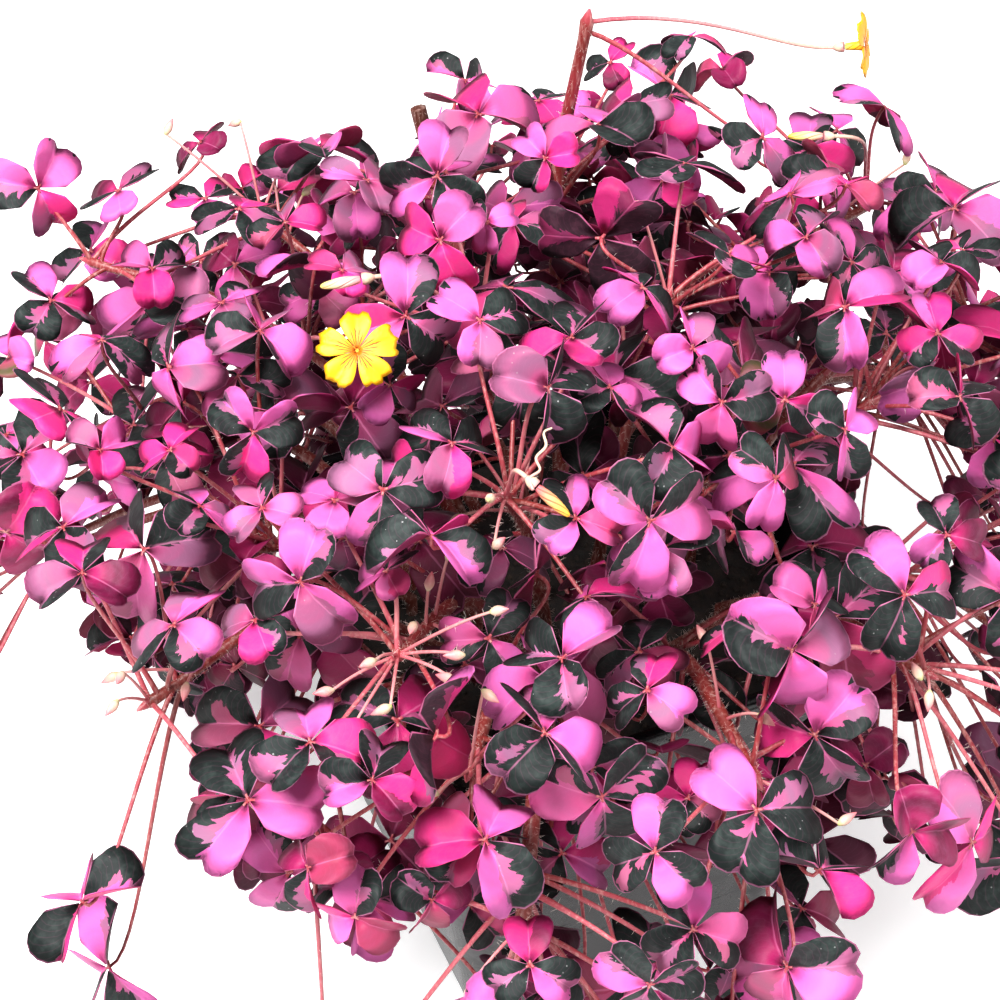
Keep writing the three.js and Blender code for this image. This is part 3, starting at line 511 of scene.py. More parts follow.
@dataclass
class Leaf:
    """A three-part leaf: its hub, the way it faces, its sizes and the tints of its leaflets."""

    hub: Vector
    facing: Vector
    along: Vector
    length: float
    fold: float
    droop: float
    width: float
    lean: tuple[float, float]
    seed: int
    pairs: list[str] = field(default_factory=list)
    foot: Vector | None = None

    LEAFLETS = 3
    OUTLINE = ((0.6, -1), (0.96, -0.66), (0.86, 0), (0.96, 0.66), (0.6, 1))
    FOLD = (0, 0.9)
    DROOP = (0.05, 0.55)
    WIDTH = (0.44, 0.5)
    STALK_OUT = 0.35
    STALK_LIFT = 0.1
    STALK_UPRIGHT = 7

    @classmethod
    def drawn(cls, draws: Draws, seed: int) -> Leaf:
        """A leaf with its drawn traits, not yet placed."""
        fold, droop = draws.between(*cls.FOLD), draws.between(*cls.DROOP)
        width = draws.between(*cls.WIDTH)
        lean = (draws.next() - 0.5, draws.next() - 0.5)
        return cls(Vector(), UP.copy(), Vector((1, 0, 0)), 12, fold, droop, width, lean, seed)

    def axes(self) -> tuple[Vector, Vector, Vector]:
        """The leaf's own three directions, the last one where it faces."""
        z = self.facing.normalized()
        x = (self.along - z * self.along.dot(z)).normalized()
        return x, z.cross(x), z

    def point(self, leaflet: int, u: float, v: float) -> Vector:
        """A point of the blade, u along a leaflet and v beside its rib."""
        x, y, z = self.axes()
        turn = leaflet * math.tau / self.LEAFLETS
        drop = self.droop * u * u / self.length
        across = u * math.cos(turn) - v * math.sin(turn)
        beside = u * math.sin(turn) + v * math.cos(turn)
        return self.hub + x * across + y * beside + z * (self.fold * abs(v) - drop)

    def corners(self) -> list[Vector]:
        """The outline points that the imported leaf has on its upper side."""
        return [
            self.point(k, u * self.length, v * self.length * self.width)
            for k in range(self.LEAFLETS)
            for u, v in self.OUTLINE
        ]

    def samples(self) -> list[Vector]:
        """Points spread over the blade, a few millimetres apart."""
        return [
            self.point(k, s * self.length * 0.95, v * s**0.7 * self.length * self.width)
            for k in range(self.LEAFLETS)
            for s in (0.2, 0.4, 0.6, 0.8, 1)
            for v in (-0.9, -0.45, 0, 0.45, 0.9)
        ]

    def stalk_out(self, foot: Vector) -> Vector:
        """The point towards which the leaf's stalk leaves its foot."""
        out = foot.lerp(self.hub, self.STALK_OUT)
        out.z += (self.hub - foot).length * self.STALK_LIFT
        return out

    def stalk(self, steps: int) -> list[Vector]:
        """Points along the leaf's stalk, from its foot to the hub."""
        z = self.facing.normalized()
        under = self.hub - z * min(self.STALK_UPRIGHT, self.length)
        points = [self.foot, self.stalk_out(self.foot), under, self.hub - z * 0.35]
        return [bezier(points, i / steps) for i in range(steps + 1)]


class PackedPoints:
    """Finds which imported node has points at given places."""

    REACH = 0.05

    def __init__(self, nodes: dict[str, bpy.types.Object]) -> None:
        """Reads the points of the nodes, named by what comes after the prefix."""
        self.names = []
        self.places = []
        for name, node in nodes.items():
            for vertex in node.data.vertices:
                self.names.append(name)
                self.places.append(vertex.co / MM)
        self.tree = KDTree(len(self.places))
        for i, place in enumerate(self.places):
            self.tree.insert(place, i)
        self.tree.balance()

    def owner(self, places: Iterable[Vector]) -> str | None:
        """The node that has all of the places among its points, if one has."""
        owner = None
        for place in places:
            _, i, distance = self.tree.find(place)
            if distance > self.REACH or owner not in (None, self.names[i]):
                return None
            owner = self.names[i]
        return owner


class Room:
    """Marks the space that is taken, in cells of a millimetre."""

    MARGIN = 12

    def __init__(self, low: Vector, high: Vector) -> None:
        """Starts empty over a box."""
        self.low = np.array(low) - self.MARGIN
        size = np.ceil(np.array(high) - self.low + self.MARGIN).astype(int)
        self.taken = np.zeros(size, bool)

    def _cells(self, points: list[Vector]) -> np.ndarray:
        """Cell numbers of points, kept inside the box."""
        cells = np.floor(np.array(points) - self.low).astype(int)
        return np.clip(cells, 2, np.array(self.taken.shape) - 3)

    def take(self, points: list[Vector], reach: int = 1) -> None:
        """Marks the cells round points."""
        for cell in self._cells(points):
            self.taken[tuple(slice(c - reach, c + reach + 1) for c in cell)] = True

    def free(self, points: list[Vector]) -> bool:
        """True if no point lies in a taken cell."""
        x, y, z = self._cells(points).T
        return not self.taken[x, y, z].any()


@dataclass
class Stroke:
    """A tapered round shoot: its line, radius and tone at each point, and how hairy it is."""

    line: list[Vector]
    radii: Iterable[float]
    tones: Iterable[float]
    fuzz: float = 0.0


def spread(values: tuple[float, ...], count: int) -> list[float]:
    """Count numbers that run evenly through a few given values."""
    return list(np.interp(np.linspace(0, 1, count), np.linspace(0, 1, len(values)), values))


def tapered(line: list[Vector], radii: tuple[float, ...], tones: tuple[float, ...],
            fuzz: float = 0.0) -> Stroke:
    """A stroke whose radius and tone run evenly through a few given values."""
    return Stroke(line, spread(radii, len(line)), spread(tones, len(line)), fuzz)


@dataclass
class Bloom:
    """A bloom: the stem that carries it, where its cup ends and the way it looks."""

    name: str
    stem: str
    base: Vector
    facing: Vector
    is_open: bool = False

    TUBE = 4.4
    SEAT = 0.3
    CALYX = 2.2
    CUP_RADII = (0.42, 0.72, 0.92, 1.05, 1.1, 1.06)
    CUP_TONES = (0.24, 0.1, 0.3)

    def place(self, height: float) -> Vector:
        """A point over the cup's end on the bloom's own axis."""
        return self.base + self.facing * (self.SEAT + height)

    def stalk(self, start: Vector, steps: int) -> list[Vector]:
        """Points along the bloom's stalk, from a stem to the cup's foot."""
        foot = self.base - self.facing * self.CALYX
        reach = (foot - start).length
        out = start.lerp(foot, 0.45)
        out.z += reach * 0.12
        points = [start, out, foot - self.facing * (reach * 0.2), foot]
        return [bezier(points, i / steps) for i in range(steps + 1)]


class Plant:
    """Lays out the stems, leaves, buds and blooms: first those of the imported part, then more."""

    SEEN_SEED = 1000
    HALF_HIDDEN_SEED = 2000
    FILL_SEED = 5000
    BUD_SEED = 9000
    LAYER_SEED = 20000
    SEEDS_A_LAYER = 2000
    MORE_BUD_SEED = 30000

    REACH = (11, 64)
    SHIFTS = (0, 5, -5, 10, -10, 15)
    SWINGS = (0, 0.25, -0.25)
    FILL = 610
    FILL_STRIDE = 89
    FILL_DOWN = 1.32
    FILL_APART = 26
    FILL_SCALE = (0.9, 1.02)
    FILL_LENGTH = (11, 16)
    LOWEST = 46
    STALK_TOP = 1.03
    STALK_RADIUS = 0.62
    BUD_LENGTH = 3.8
    BUD_REACH = 34
    BUD_RADII = (0.26, 0.62, 0.86, 0.9, 0.78, 0.6, 0.36, 0.1)
    BUD_TONES = (0.03, 0.1, 0.17, 0.21, 0.23, 0.27, 0.35, 0.42)
    TAPER = 0.62
    SWELL = 0.16
    SWELL_REACH = 2.6
    TIP = ((0.8, 0.72), (1.8, 0.5), (2.9, 0.16))
    TIP_TONES = (0.66, 0.58, 0.5)
    FAN = (14, 58)
    FIRST = 4
    CLEAR = 4
    NEAREST = 9
    FARTHEST = 60
    RISING = 0.25
    FEET = 6
    SEEN_FACING = 0.38
    SEEN_UP = 0.3
    SEEN_OUTWARD = 0.35
    SEEN_LEAN = 1.5
    EDGE_UP = 0.9
    HALF_HIDDEN_SHIFTS = (0, 4, 8, -4, 12, 16, -8, 20, 25, 30)
    LAYERS = (
        (1.0, 800), (0.96, 640), (0.92, 700), (0.87, 640), (0.82, 660), (0.76, 620), (0.7, 520),
        (0.62, 420),
    )
    LAYER_STRIDE = 271
    LAYER_DOWN = 1.36
    LAYER_SCALE = (0.97, 1.03)
    LAYER_LENGTH = (8.5, 14.5)
    LAYER_FOLD = (-0.25, 1.0)
    LAYER_DROOP = (0.05, 0.85)
    DEEP_LAYER = 0.85

    def __init__(self) -> None:
        """Starts with the stems, which all stand in the soil."""
        self.stems = self._stems()
        self.leaves: dict[str, list[Leaf]] = {stem.name: [] for stem in self.stems}
        self.strokes: dict[str, list[Stroke]] = {stem.name: [] for stem in self.stems}
        self.blooms = self._blooms()
        self.hubs: list[Vector] = []
        self.packed = PackedPoints({
            stem.name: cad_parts[f"leafy_stem_{stem.name}"] for stem in self.stems
        })
        self.room = Room(Vector(CAD_BOX[0]) / MM, Vector(CAD_BOX[1]) / MM)
        for stem in self.stems:
            stem.grow()

    def _stems(self) -> list[Stem]:
        """The stems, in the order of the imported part: seen ones, then those behind and beside."""
        seen, high = MOUND.seen, LOOK.at_height
        return [
            Stem("tall", 1.9, [high(556, 190, 158), high(587, 22, 197)]),
            Stem("cut", 1.7, [high(440, 190, 158)], stump=high(418, 108, 176)),
            Stem("back_left", 1.4, [seen(262, 215, 0.8)], buds=2),
            Stem("far_left", 1.4, [seen(92, 262, 0.82)]),
            Stem("left", 1.5, [seen(128, 430, 0.8)]),
            Stem("left_edge", 1.4, [seen(58, 548, 0.86)]),
            Stem("left_low", 1.6, [seen(150, 702, 0.86)], buds=3),
            Stem("upper_left", 1.4, [seen(300, 345, 0.74)]),
            Stem("middle_left", 1.4, [seen(262, 548, 0.7)]),
            Stem("hairy", 1.7, [seen(398, 655, 0.86)], buds=4),
            Stem("middle", 1.6, [seen(505, 497, 0.86)], buds=2),
            Stem("upper_middle", 1.4, [seen(480, 330, 0.78)]),
            Stem("upper_right", 1.5, [seen(668, 300, 0.8)]),
            Stem("back_right", 1.7, [high(868, 205, 128)]),
            Stem("far_right", 1.5, [seen(968, 318, 0.86)]),
            Stem("right", 1.6, [seen(872, 402, 0.8)]),
            Stem("middle_right", 1.5, [seen(742, 470, 0.74)]),
            Stem("right_low", 1.7, [seen(925, 672, 0.88)]),
            Stem("front_right", 1.8, [seen(755, 778, 0.9)], buds=2),
            Stem("front", 2.1, [seen(523, 925, 0.9)]),
            Stem("front_left", 1.7, [seen(470, 770, 0.84)]),
            Stem("low_left", 1.4, [seen(300, 828, 0.84)]),
            Stem("rear_left", 1.5, [Vector((-60, 84, 96))]),
            Stem("rear", 1.6, [Vector((4, 84, 118))]),
            Stem("rear_right", 1.5, [Vector((62, 74, 108))]),
            Stem("rear_low", 1.5, [Vector((-24, 96, 84))]),
            Stem("side_right", 1.5, [Vector((98, 26, 92))]),
            Stem("side_low", 1.4, [Vector((84, -62, 82))]),
            Stem("side_left", 1.4, [Vector((-98, 58, 86))]),
        ]

    def _blooms(self) -> list[Bloom]:
        """The blooms, each with its place in the picture."""
        back, right, up = LOOK.back, LOOK.right, LOOK.up
        front = (back + up * 0.15).normalized()
        side = (right + back * 0.35).normalized()
        fading = (right - up * 0.9).normalized()
        nodding = (-right - up * 0.18).normalized()
        seen, high, tube = MOUND.seen, LOOK.at_height, Bloom.TUBE
        return [
            Bloom("bloom_open", "upper_left", seen(357, 350, 1.07) - front * tube, front, True),
            Bloom("bloom_side", "tall", high(866, 45, 184) - side * tube, side, True),
            Bloom("bloom_closed", "back_right", high(824, 136, 166), -right),
            Bloom("bloom_faded", "middle", seen(536, 486, 1.03), fading),
            Bloom("bud_long", "upper_middle", seen(362, 279, 1.05), nodding),
        ]

    def stem(self, name: str) -> Stem:
        """The stem of that name."""
        return next(stem for stem in self.stems if stem.name == name)

    def grow(self) -> None:
        """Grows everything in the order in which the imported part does."""
        for stem in self.stems:
            self._add_stem(stem)
        for bloom in self.blooms:
            self._add_bloom(bloom)
        self._packed_seen()
        self._packed_fill()
        self._packed_buds()
        log.info("packed leaves found: %d", len(self.hubs))
        self._more_buds()
        self._more_seen()
        self._more_fill()

    def _add_stem(self, stem: Stem) -> None:
        """Gives a stem its own stroke, swollen at its nodes and rounded at its tip."""
        radii, tones = [], []
        last = len(stem.path) - 1
        for i, point in enumerate(stem.path):
            off = [(point - place).length / self.SWELL_REACH for place in stem.places]
            swell = self.SWELL * sum(math.exp(-(share**2)) for share in off)
            height = min(max((point.z - POT.soil_top) / 60, 0), 1)
            taper = 1 if stem.stump else 1 + (self.TAPER - 1) * i / last
            radii.append(stem.radius * (taper + swell))
            tones.append(0.9 - 0.16 * height)
        line = stem.path.copy()
        if stem.stump:
            tones[-3:] = [0.97] * 3
        else:
            way = (line[-1] - line[-2]).normalized()
            tip, thick = line[-1], radii[-1]
            line += [tip + way * reach for reach, _ in self.TIP]
            radii += [thick * share for _, share in self.TIP]
            tones += self.TIP_TONES
        self.strokes[stem.name].append(Stroke(line, radii, tones, fuzz=1.0))
        self.room.take(stem.path, 1)

    def _add_bloom(self, bloom: Bloom) -> None:
        """Joins a bloom to its stem by its stalk and cup."""
        stem = self.stem(bloom.stem)
        node = stem.nodes[-1]
        start = stem.nearest(stem.foot(node))
        node.used += 1
        line = bloom.stalk(start, 14)
        self.strokes[stem.name].append(tapered(line, (0.5, 0.36, 0.42), (0.5, 0.3, 0.2), 0.2))
        foot = bloom.base - bloom.facing * bloom.CALYX
        cup = [foot.lerp(bloom.base, i / 5) for i in range(6)]
        self.strokes[stem.name].append(tapered(cup, bloom.CUP_RADII, bloom.CUP_TONES, 0.3))
        self.room.take(line)
        self.room.take([bloom.place(h) for h in range(0, 8, 2)], 3)
        if bloom.name == "bloom_faded":
            self._add_curl(stem)

    def _add_curl(self, stem: Stem) -> None:
        """Adds the wilted stalk that curls over the faded bloom."""
        places = [MOUND.seen(across, down, 1.04) for across, down in WILTED_CURL]
        curl = [smooth_point(places, i / 5) for i in range(5 * (len(places) - 1) + 1)]
        self.strokes[stem.name].append(tapered(curl, (0.16, 0.26, 0.22, 0.28), (0.18, 0.24), 0.2))
        self.room.take(curl)

    def _keep(self, stem: Stem, leaf: Leaf) -> None:
        """Adds a leaf and its stalk to a stem, and marks their space."""
        self.leaves[stem.name].append(leaf)
        self.room.take(leaf.samples())
        self.room.take(leaf.stalk(20), 0)

    def _seen_leaf(self, row: tuple, seed: int) -> tuple[Leaf, Vector]:
        """The leaf of a table row, and the line of sight along which it may slide."""
        across, down, size, turn, pairs, *tipped = row
        edge = tipped[0] if tipped else 0
        leaf = Leaf.drawn(Draws(seed), seed)
        leaf.hub = MOUND.seen(across, down)
        leaf.length = size * LOOK.point * (leaf.hub - LOOK.eye).length / LOOK.distance
        leaf.facing = (
            LOOK.back * (self.SEEN_FACING * (1 - edge))
            + UP * self.SEEN_UP
            + MOUND.outward(leaf.hub) * (self.SEEN_OUTWARD * (1 - edge))
            + LOOK.up * (self.EDGE_UP * edge)
            + LOOK.right * (self.SEEN_LEAN * leaf.lean[0])
            + LOOK.up * (self.SEEN_LEAN * leaf.lean[1])
        ).normalized()
        angle = math.radians(turn)
        leaf.along = LOOK.right * math.cos(angle) + LOOK.up * math.sin(angle)
        leaf.pairs = pairs.split()
        return leaf, LOOK.line(across, down)

    def _match(self, leaf: Leaf, slide: Vector) -> bool:
        """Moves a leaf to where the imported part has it.

        Args:
            leaf: the leaf at its first place.
            slide: the direction in which it may have been moved.

        Returns:
            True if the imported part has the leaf. It then hangs on its stem.
        """
        start, facing = leaf.hub.copy(), leaf.facing.copy()
        for shift in self.SHIFTS:
            for swing in self.SWINGS:
                leaf.hub = start + slide * shift
                leaf.facing = facing.copy()
                leaf.facing.rotate(Quaternion(leaf.along, swing))
                owner = self.packed.owner(leaf.corners())
                if owner:
                    self._hang(self.stem(owner), leaf)
                    return True
        leaf.hub, leaf.facing = start, facing
        return False

    def _hang(self, stem: Stem, leaf: Leaf) -> None:
        """Hangs a packed leaf on its stem, with the foot of its stalk where the stem has it."""
        low, high = self.REACH
        near = [node for node in stem.nodes if low < (node.place - leaf.hub).length < high]
        near.sort(key=lambda node: (node.place - leaf.hub).length)
        node = next((one for one in near if self._has_stalk(stem, one, leaf)), near[0])
        leaf.foot = stem.nearest(stem.foot(node))
        node.used += 1
        self._keep(stem, leaf)

    def _has_stalk(self, stem: Stem, node: Node, leaf: Leaf) -> bool:
        """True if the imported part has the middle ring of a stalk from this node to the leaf."""
        foot, z = stem.foot(node), leaf.facing.normalized()
        under, top = leaf.hub - z * leaf.STALK_UPRIGHT, leaf.hub - z * self.STALK_TOP
        middle = bezier([foot, leaf.stalk_out(foot), under, top], 0.5)
        near = self.packed.tree.find_range(middle, self.STALK_RADIUS + 0.06)
        return sum(abs(distance - self.STALK_RADIUS) < 0.03 for *_, distance in near) >= 2

    def _packed_seen(self) -> None:
        """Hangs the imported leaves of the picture's side."""
        for number, row in enumerate(SEEN_LEAVES):
            leaf, line = self._seen_leaf(row, self.SEEN_SEED + number)
            if self._match(leaf, line):
                self.hubs.append(leaf.hub.copy())

    def _packed_fill(self) -> None:
        """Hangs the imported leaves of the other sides."""
        for i in range(self.FILL):
            step = (i * self.FILL_STRIDE) % self.FILL
            seed = self.FILL_SEED + step
            draws = Draws(seed)
            leaf = Leaf.drawn(draws, seed)
            scale = draws.between(*self.FILL_SCALE)
            leaf.hub = MOUND.spot(step, self.FILL, self.FILL_DOWN, scale)
            spin = draws.next() * math.tau
            leaf.length = draws.between(*self.FILL_LENGTH)
            crowded = any((hub - leaf.hub).length < self.FILL_APART for hub in self.hubs)
            if leaf.hub.z < self.LOWEST or crowded:
                continue
            outward = MOUND.outward(leaf.hub)
            leaf.along = Vector((math.cos(spin), math.sin(spin), 0))
            lean = Vector((*leaf.lean, 0)) * 0.9
            leaf.facing = (outward * 0.7 + UP * 0.45 + lean).normalized()
            leaf.pairs = self._pairs(leaf.seed, FILL_PAIRS)
            if self._match(leaf, outward):
                self.hubs.append(leaf.hub.copy())

    @staticmethod
    def _pairs(seed: int, options: list[str]) -> list[str]:
        """Tints of three leaflets, drawn from a list."""
        draws = Draws(seed * 7 + 3)
        return [options[int(draws.next() * len(options))] for _ in range(Leaf.LEAFLETS)]

    def _packed_buds(self) -> None:
        """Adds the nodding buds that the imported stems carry."""
        for index, stem in enumerate(self.stems):
            draws = Draws(self.BUD_SEED + index)
            node = stem.nodes[-1]
            left = stem.buds
            for _ in range(stem.buds * 8):
                if left == 0:
                    break
                start = stem.foot(node)
                spread = Vector((draws.next() - 0.5, draws.next() - 0.5, draws.next() - 0.35))
                way = (MOUND.outward(start) * 0.6 + spread * 1.8).normalized()
                end = start + way * draws.between(8, 15)
                nod = (way - UP * 0.7).normalized()
                if self.packed.owner([end + nod * self.BUD_LENGTH]) != stem.name:
                    continue
                self.add_bud(stem, stem.nearest(start), end, nod)
                node.used += 1
                left -= 1

    def add_bud(self, stem: Stem, start: Vector, end: Vector, nod: Vector) -> None:
        """Adds one bud and its short stalk.

        Args:
            stem: the stem that carries it.
            start: where its stalk leaves the stem.
            end: where the bud starts.
            nod: the way the bud points.
        """
        lift = start.lerp(end, 0.6) + UP * 1.6
        points = [start, lift, end + nod * 0.3]
        line = [bezier(points, i / 6) for i in range(7)]
        self.strokes[stem.name].append(tapered(line, (0.34, 0.24), (0.45, 0.24), 0.5))
        bud = [end + nod * (self.BUD_LENGTH * i / 7) for i in range(8)]
        self.strokes[stem.name].append(Stroke(bud, self.BUD_RADII, self.BUD_TONES, 0.25))
        self.room.take(line + bud)

    def _more_buds(self) -> None:
        """Adds the other buds that are seen, each on the stem that is nearest."""
        for number, (across, down) in enumerate(MORE_BUDS):
            end = MOUND.seen(across, down, 0.96)
            stem = min(self.stems, key=lambda one: (one.nearest(end) - end).length)
            start = stem.nearest(end)
            if (start - end).length > self.BUD_REACH:
                continue
            draws = Draws(self.MORE_BUD_SEED + number)
            drift = Vector((draws.next() - 0.5, draws.next() - 0.5, draws.next() - 0.9))
            nod = (MOUND.outward(end) * 0.4 + drift).normalized()
            bud = [end + nod * (self.BUD_LENGTH * share) for share in (0, 0.5, 1)]
            if self.room.free(bud):
                self.add_bud(stem, start, end, nod)

    def _more_seen(self) -> None:
        """Adds the half hidden leaves of the picture's side where there is room for them."""
        count = 0
        for number, row in enumerate(MORE_LEAVES):
            leaf, line = self._seen_leaf(row, self.HALF_HIDDEN_SEED + number)
            start = leaf.hub.copy()
            for shift in self.HALF_HIDDEN_SHIFTS:
                leaf.hub = start + line * shift
                if self._add_free(leaf):
                    count += 1
                    break
        log.info("half hidden leaves: %d of %d", count, len(MORE_LEAVES))

    def _more_fill(self) -> None:
        """Fills the mound with leaves in layers, the inner ones given darker tints, partly as painted
        shade.
        """
        count = 0
        for number, (layer, spots) in enumerate(self.LAYERS):
            for turn in range(spots):
                step = (turn * self.LAYER_STRIDE) % spots
                seed = self.LAYER_SEED + number * self.SEEDS_A_LAYER + step
                draws = Draws(seed)
                leaf = Leaf.drawn(draws, seed)
                scale = layer * draws.between(*self.LAYER_SCALE)
                leaf.hub = MOUND.spot(step, spots, self.LAYER_DOWN, scale)
                if leaf.hub.z < self.LOWEST:
                    continue
                spin = draws.next() * math.tau
                leaf.length = draws.between(*self.LAYER_LENGTH)
                leaf.fold = draws.between(*self.LAYER_FOLD)
                leaf.droop = draws.between(*self.LAYER_DROOP)
                leaf.along = Vector((math.cos(spin), math.sin(spin), 0))
                lean = Vector((*leaf.lean, draws.next() - 0.5)) * 1.9
                leaf.facing = (MOUND.outward(leaf.hub) * 0.5 + UP * 0.4 + lean).normalized()
                options = FILL_PAIRS if layer > self.DEEP_LAYER else INNER_SHADE_PAIRS
                leaf.pairs = self._pairs(seed, options)
                count += self._add_free(leaf)
        log.info("more leaves: %d", count)

    def _add_free(self, leaf: Leaf) -> bool:
        """Adds a leaf where it and its stalk cross nothing.

        Args:
            leaf: the leaf, with its hub and facing set.

        Returns:
            True if the leaf was added.
        """
        samples = leaf.samples()
        low, high = (Vector(corner) / MM for corner in CAD_BOX)
        inside = all(low[i] < p[i] < high[i] for p in samples for i in range(3))
        if not inside or self._shows_in_gap(leaf) or not self.room.free(samples):
            return False
        for stem, foot in self._feet(leaf.hub, leaf.seed):
            leaf.foot = foot
            line = leaf.stalk(24)
            if self.room.free(line[6:-2]):
                self._keep(stem, leaf)
                return True
        return False

    @staticmethod
    def _shows_in_gap(leaf: Leaf) -> bool:
        """True if a corner of the leaf is seen in one of the gaps."""
        places = [LOOK.seen_at(corner) for corner in leaf.corners()]
        return any(
            math.hypot(across - x, down - y) < radius
            for x, y in places
            for across, down, radius in GAPS
        )

    def _feet(self, hub: Vector, seed: int) -> list[tuple[Stem, Vector]]:
        """Places on stems from which a stalk can rise to a hub, those near nodes first.

        Args:
            hub: where the stalk ends.
            seed: picks how far below a node it starts.

        Returns:
            Up to six stems, each with the place of the stalk's foot.
        """
        outward = MOUND.outward(hub)
        low, high = self.FAN
        found = []
        for stem in self.stems:
            best = None
            for i, place in enumerate(stem.path[self.FIRST :], self.FIRST):
                off = hub - place
                length = off.length
                low_down = place.z < POT.soil_top + self.CLEAR
                if low_down or length < self.NEAREST or off.dot(outward) < self.RISING * length:
                    continue
                from_tip = len(stem.path) - 1 - i
                at_node = from_tip % stem.STEPS == seed % 3 and from_tip < stem.STEPS * 1.5
                cost = length * 0.5 if at_node and low < length < high else length
                if best is None or cost < best[0]:
                    best = (cost, stem, place)
            if best and best[0] < self.FARTHEST:
                found.append(best)
        found.sort(key=lambda one: one[0])
        return [(stem, place) for _, stem, place in found[: self.FEET]]


def sum_node(operation: str, swapped: bool = False) -> Callable[[Value, object], Value]:
    """A method of Value that adds the node of a sum with another number.

    Args:
        operation: what the node works out.
        swapped: True if the other number comes first.

    Returns:
        The method.
    """
    def method(value: Value, other: object) -> Value:
        """The result of the sum."""
        pair = (other, value) if swapped else (value, other)
        return value.graph.maths(operation, *pair)

    return method


class Value:
    """An output of a node, with which sums are written as with a number."""

    def __init__(self, graph: Graph, socket: bpy.types.NodeSocket) -> None:
        """Holds the output and the graph that it is in."""
        self.graph = graph
        self.socket = socket

    def __abs__(self) -> Value:
        """The number without its sign."""
        return self.graph.maths("ABSOLUTE", self)

    __add__ = __radd__ = sum_node("ADD")
    __mul__ = __rmul__ = sum_node("MULTIPLY")
    __sub__ = sum_node("SUBTRACT")
    __rsub__ = sum_node("SUBTRACT", True)
    __truediv__ = sum_node("DIVIDE")
    __lt__ = sum_node("LESS_THAN")
    __gt__ = sum_node("GREATER_THAN")


class Graph:
    """Short ways to put nodes into a node tree and join them."""

    def __init__(self, tree: bpy.types.NodeTree) -> None:
        """Works on a tree."""
        self.tree = tree

    def add(self, kind: str, inputs: dict | None = None, **settings: object) -> bpy.types.Node:
        """Adds a node.

        Args:
            kind: the node's type name.
            inputs: values or outputs of other nodes, by the input's name or number.
            settings: the node's own properties.

        Returns:
            The new node.
        """
        node = self.tree.nodes.new(kind)
        for name, value in settings.items():
            setattr(node, name, value)
        for key, value in (inputs or {}).items():
            self.put(self._input(node, key), value)
        return node

    def get(self, kind: str, inputs: dict | None = None, output: str | int = 0,
            **settings: object) -> Value:
        """The output of a new node."""
        return Value(self, self.add(kind, inputs, **settings).outputs[output])

    @staticmethod
    def _input(node: bpy.types.Node, key: str | int) -> bpy.types.NodeSocket:
        """The node's input of that number, or the enabled one of that name."""
        if isinstance(key, int):
            return node.inputs[key]
        return next(socket for socket in node.inputs if socket.name == key and socket.enabled)

    def put(self, socket: bpy.types.NodeSocket, value: object) -> None:
        """Links an output to an input, or sets the input's value."""
        if isinstance(value, Value):
            self.tree.links.new(value.socket, socket)
        else:
            socket.default_value = value

    def maths(self, operation: str, a: object, b: object = 0.0, clamp: bool = False) -> Value:
        """The result of a sum on one or two numbers."""
        return self.get("ShaderNodeMath", {0: a, 1: b}, operation=operation, use_clamp=clamp)

    def step(self, value: object, low: float, high: float) -> Value:
        """A smooth step of a value from 0 at low to 1 at high."""
        inputs = {"Value": value, "From Min": low, "From Max": high}
        return self.get("ShaderNodeMapRange", inputs, interpolation_type="SMOOTHSTEP")

    def vector(self, operation: str, a: object, b: object = (0, 0, 0), scale: object = 1.0) -> Value:
        """The result of a sum on one or two vectors."""
        return self.get("ShaderNodeVectorMath", {0: a, 1: b, 3: scale}, operation=operation)

    def combine(self, x: object, y: object, z: object = 0.0) -> Value:
        """A vector of three numbers."""
        return self.get("ShaderNodeCombineXYZ", {0: x, 1: y, 2: z})

    def split(self, vector: Value) -> list[Value]:
        """The three numbers of a vector."""
        return [Value(self, out) for out in self.add("ShaderNodeSeparateXYZ", {0: vector}).outputs]


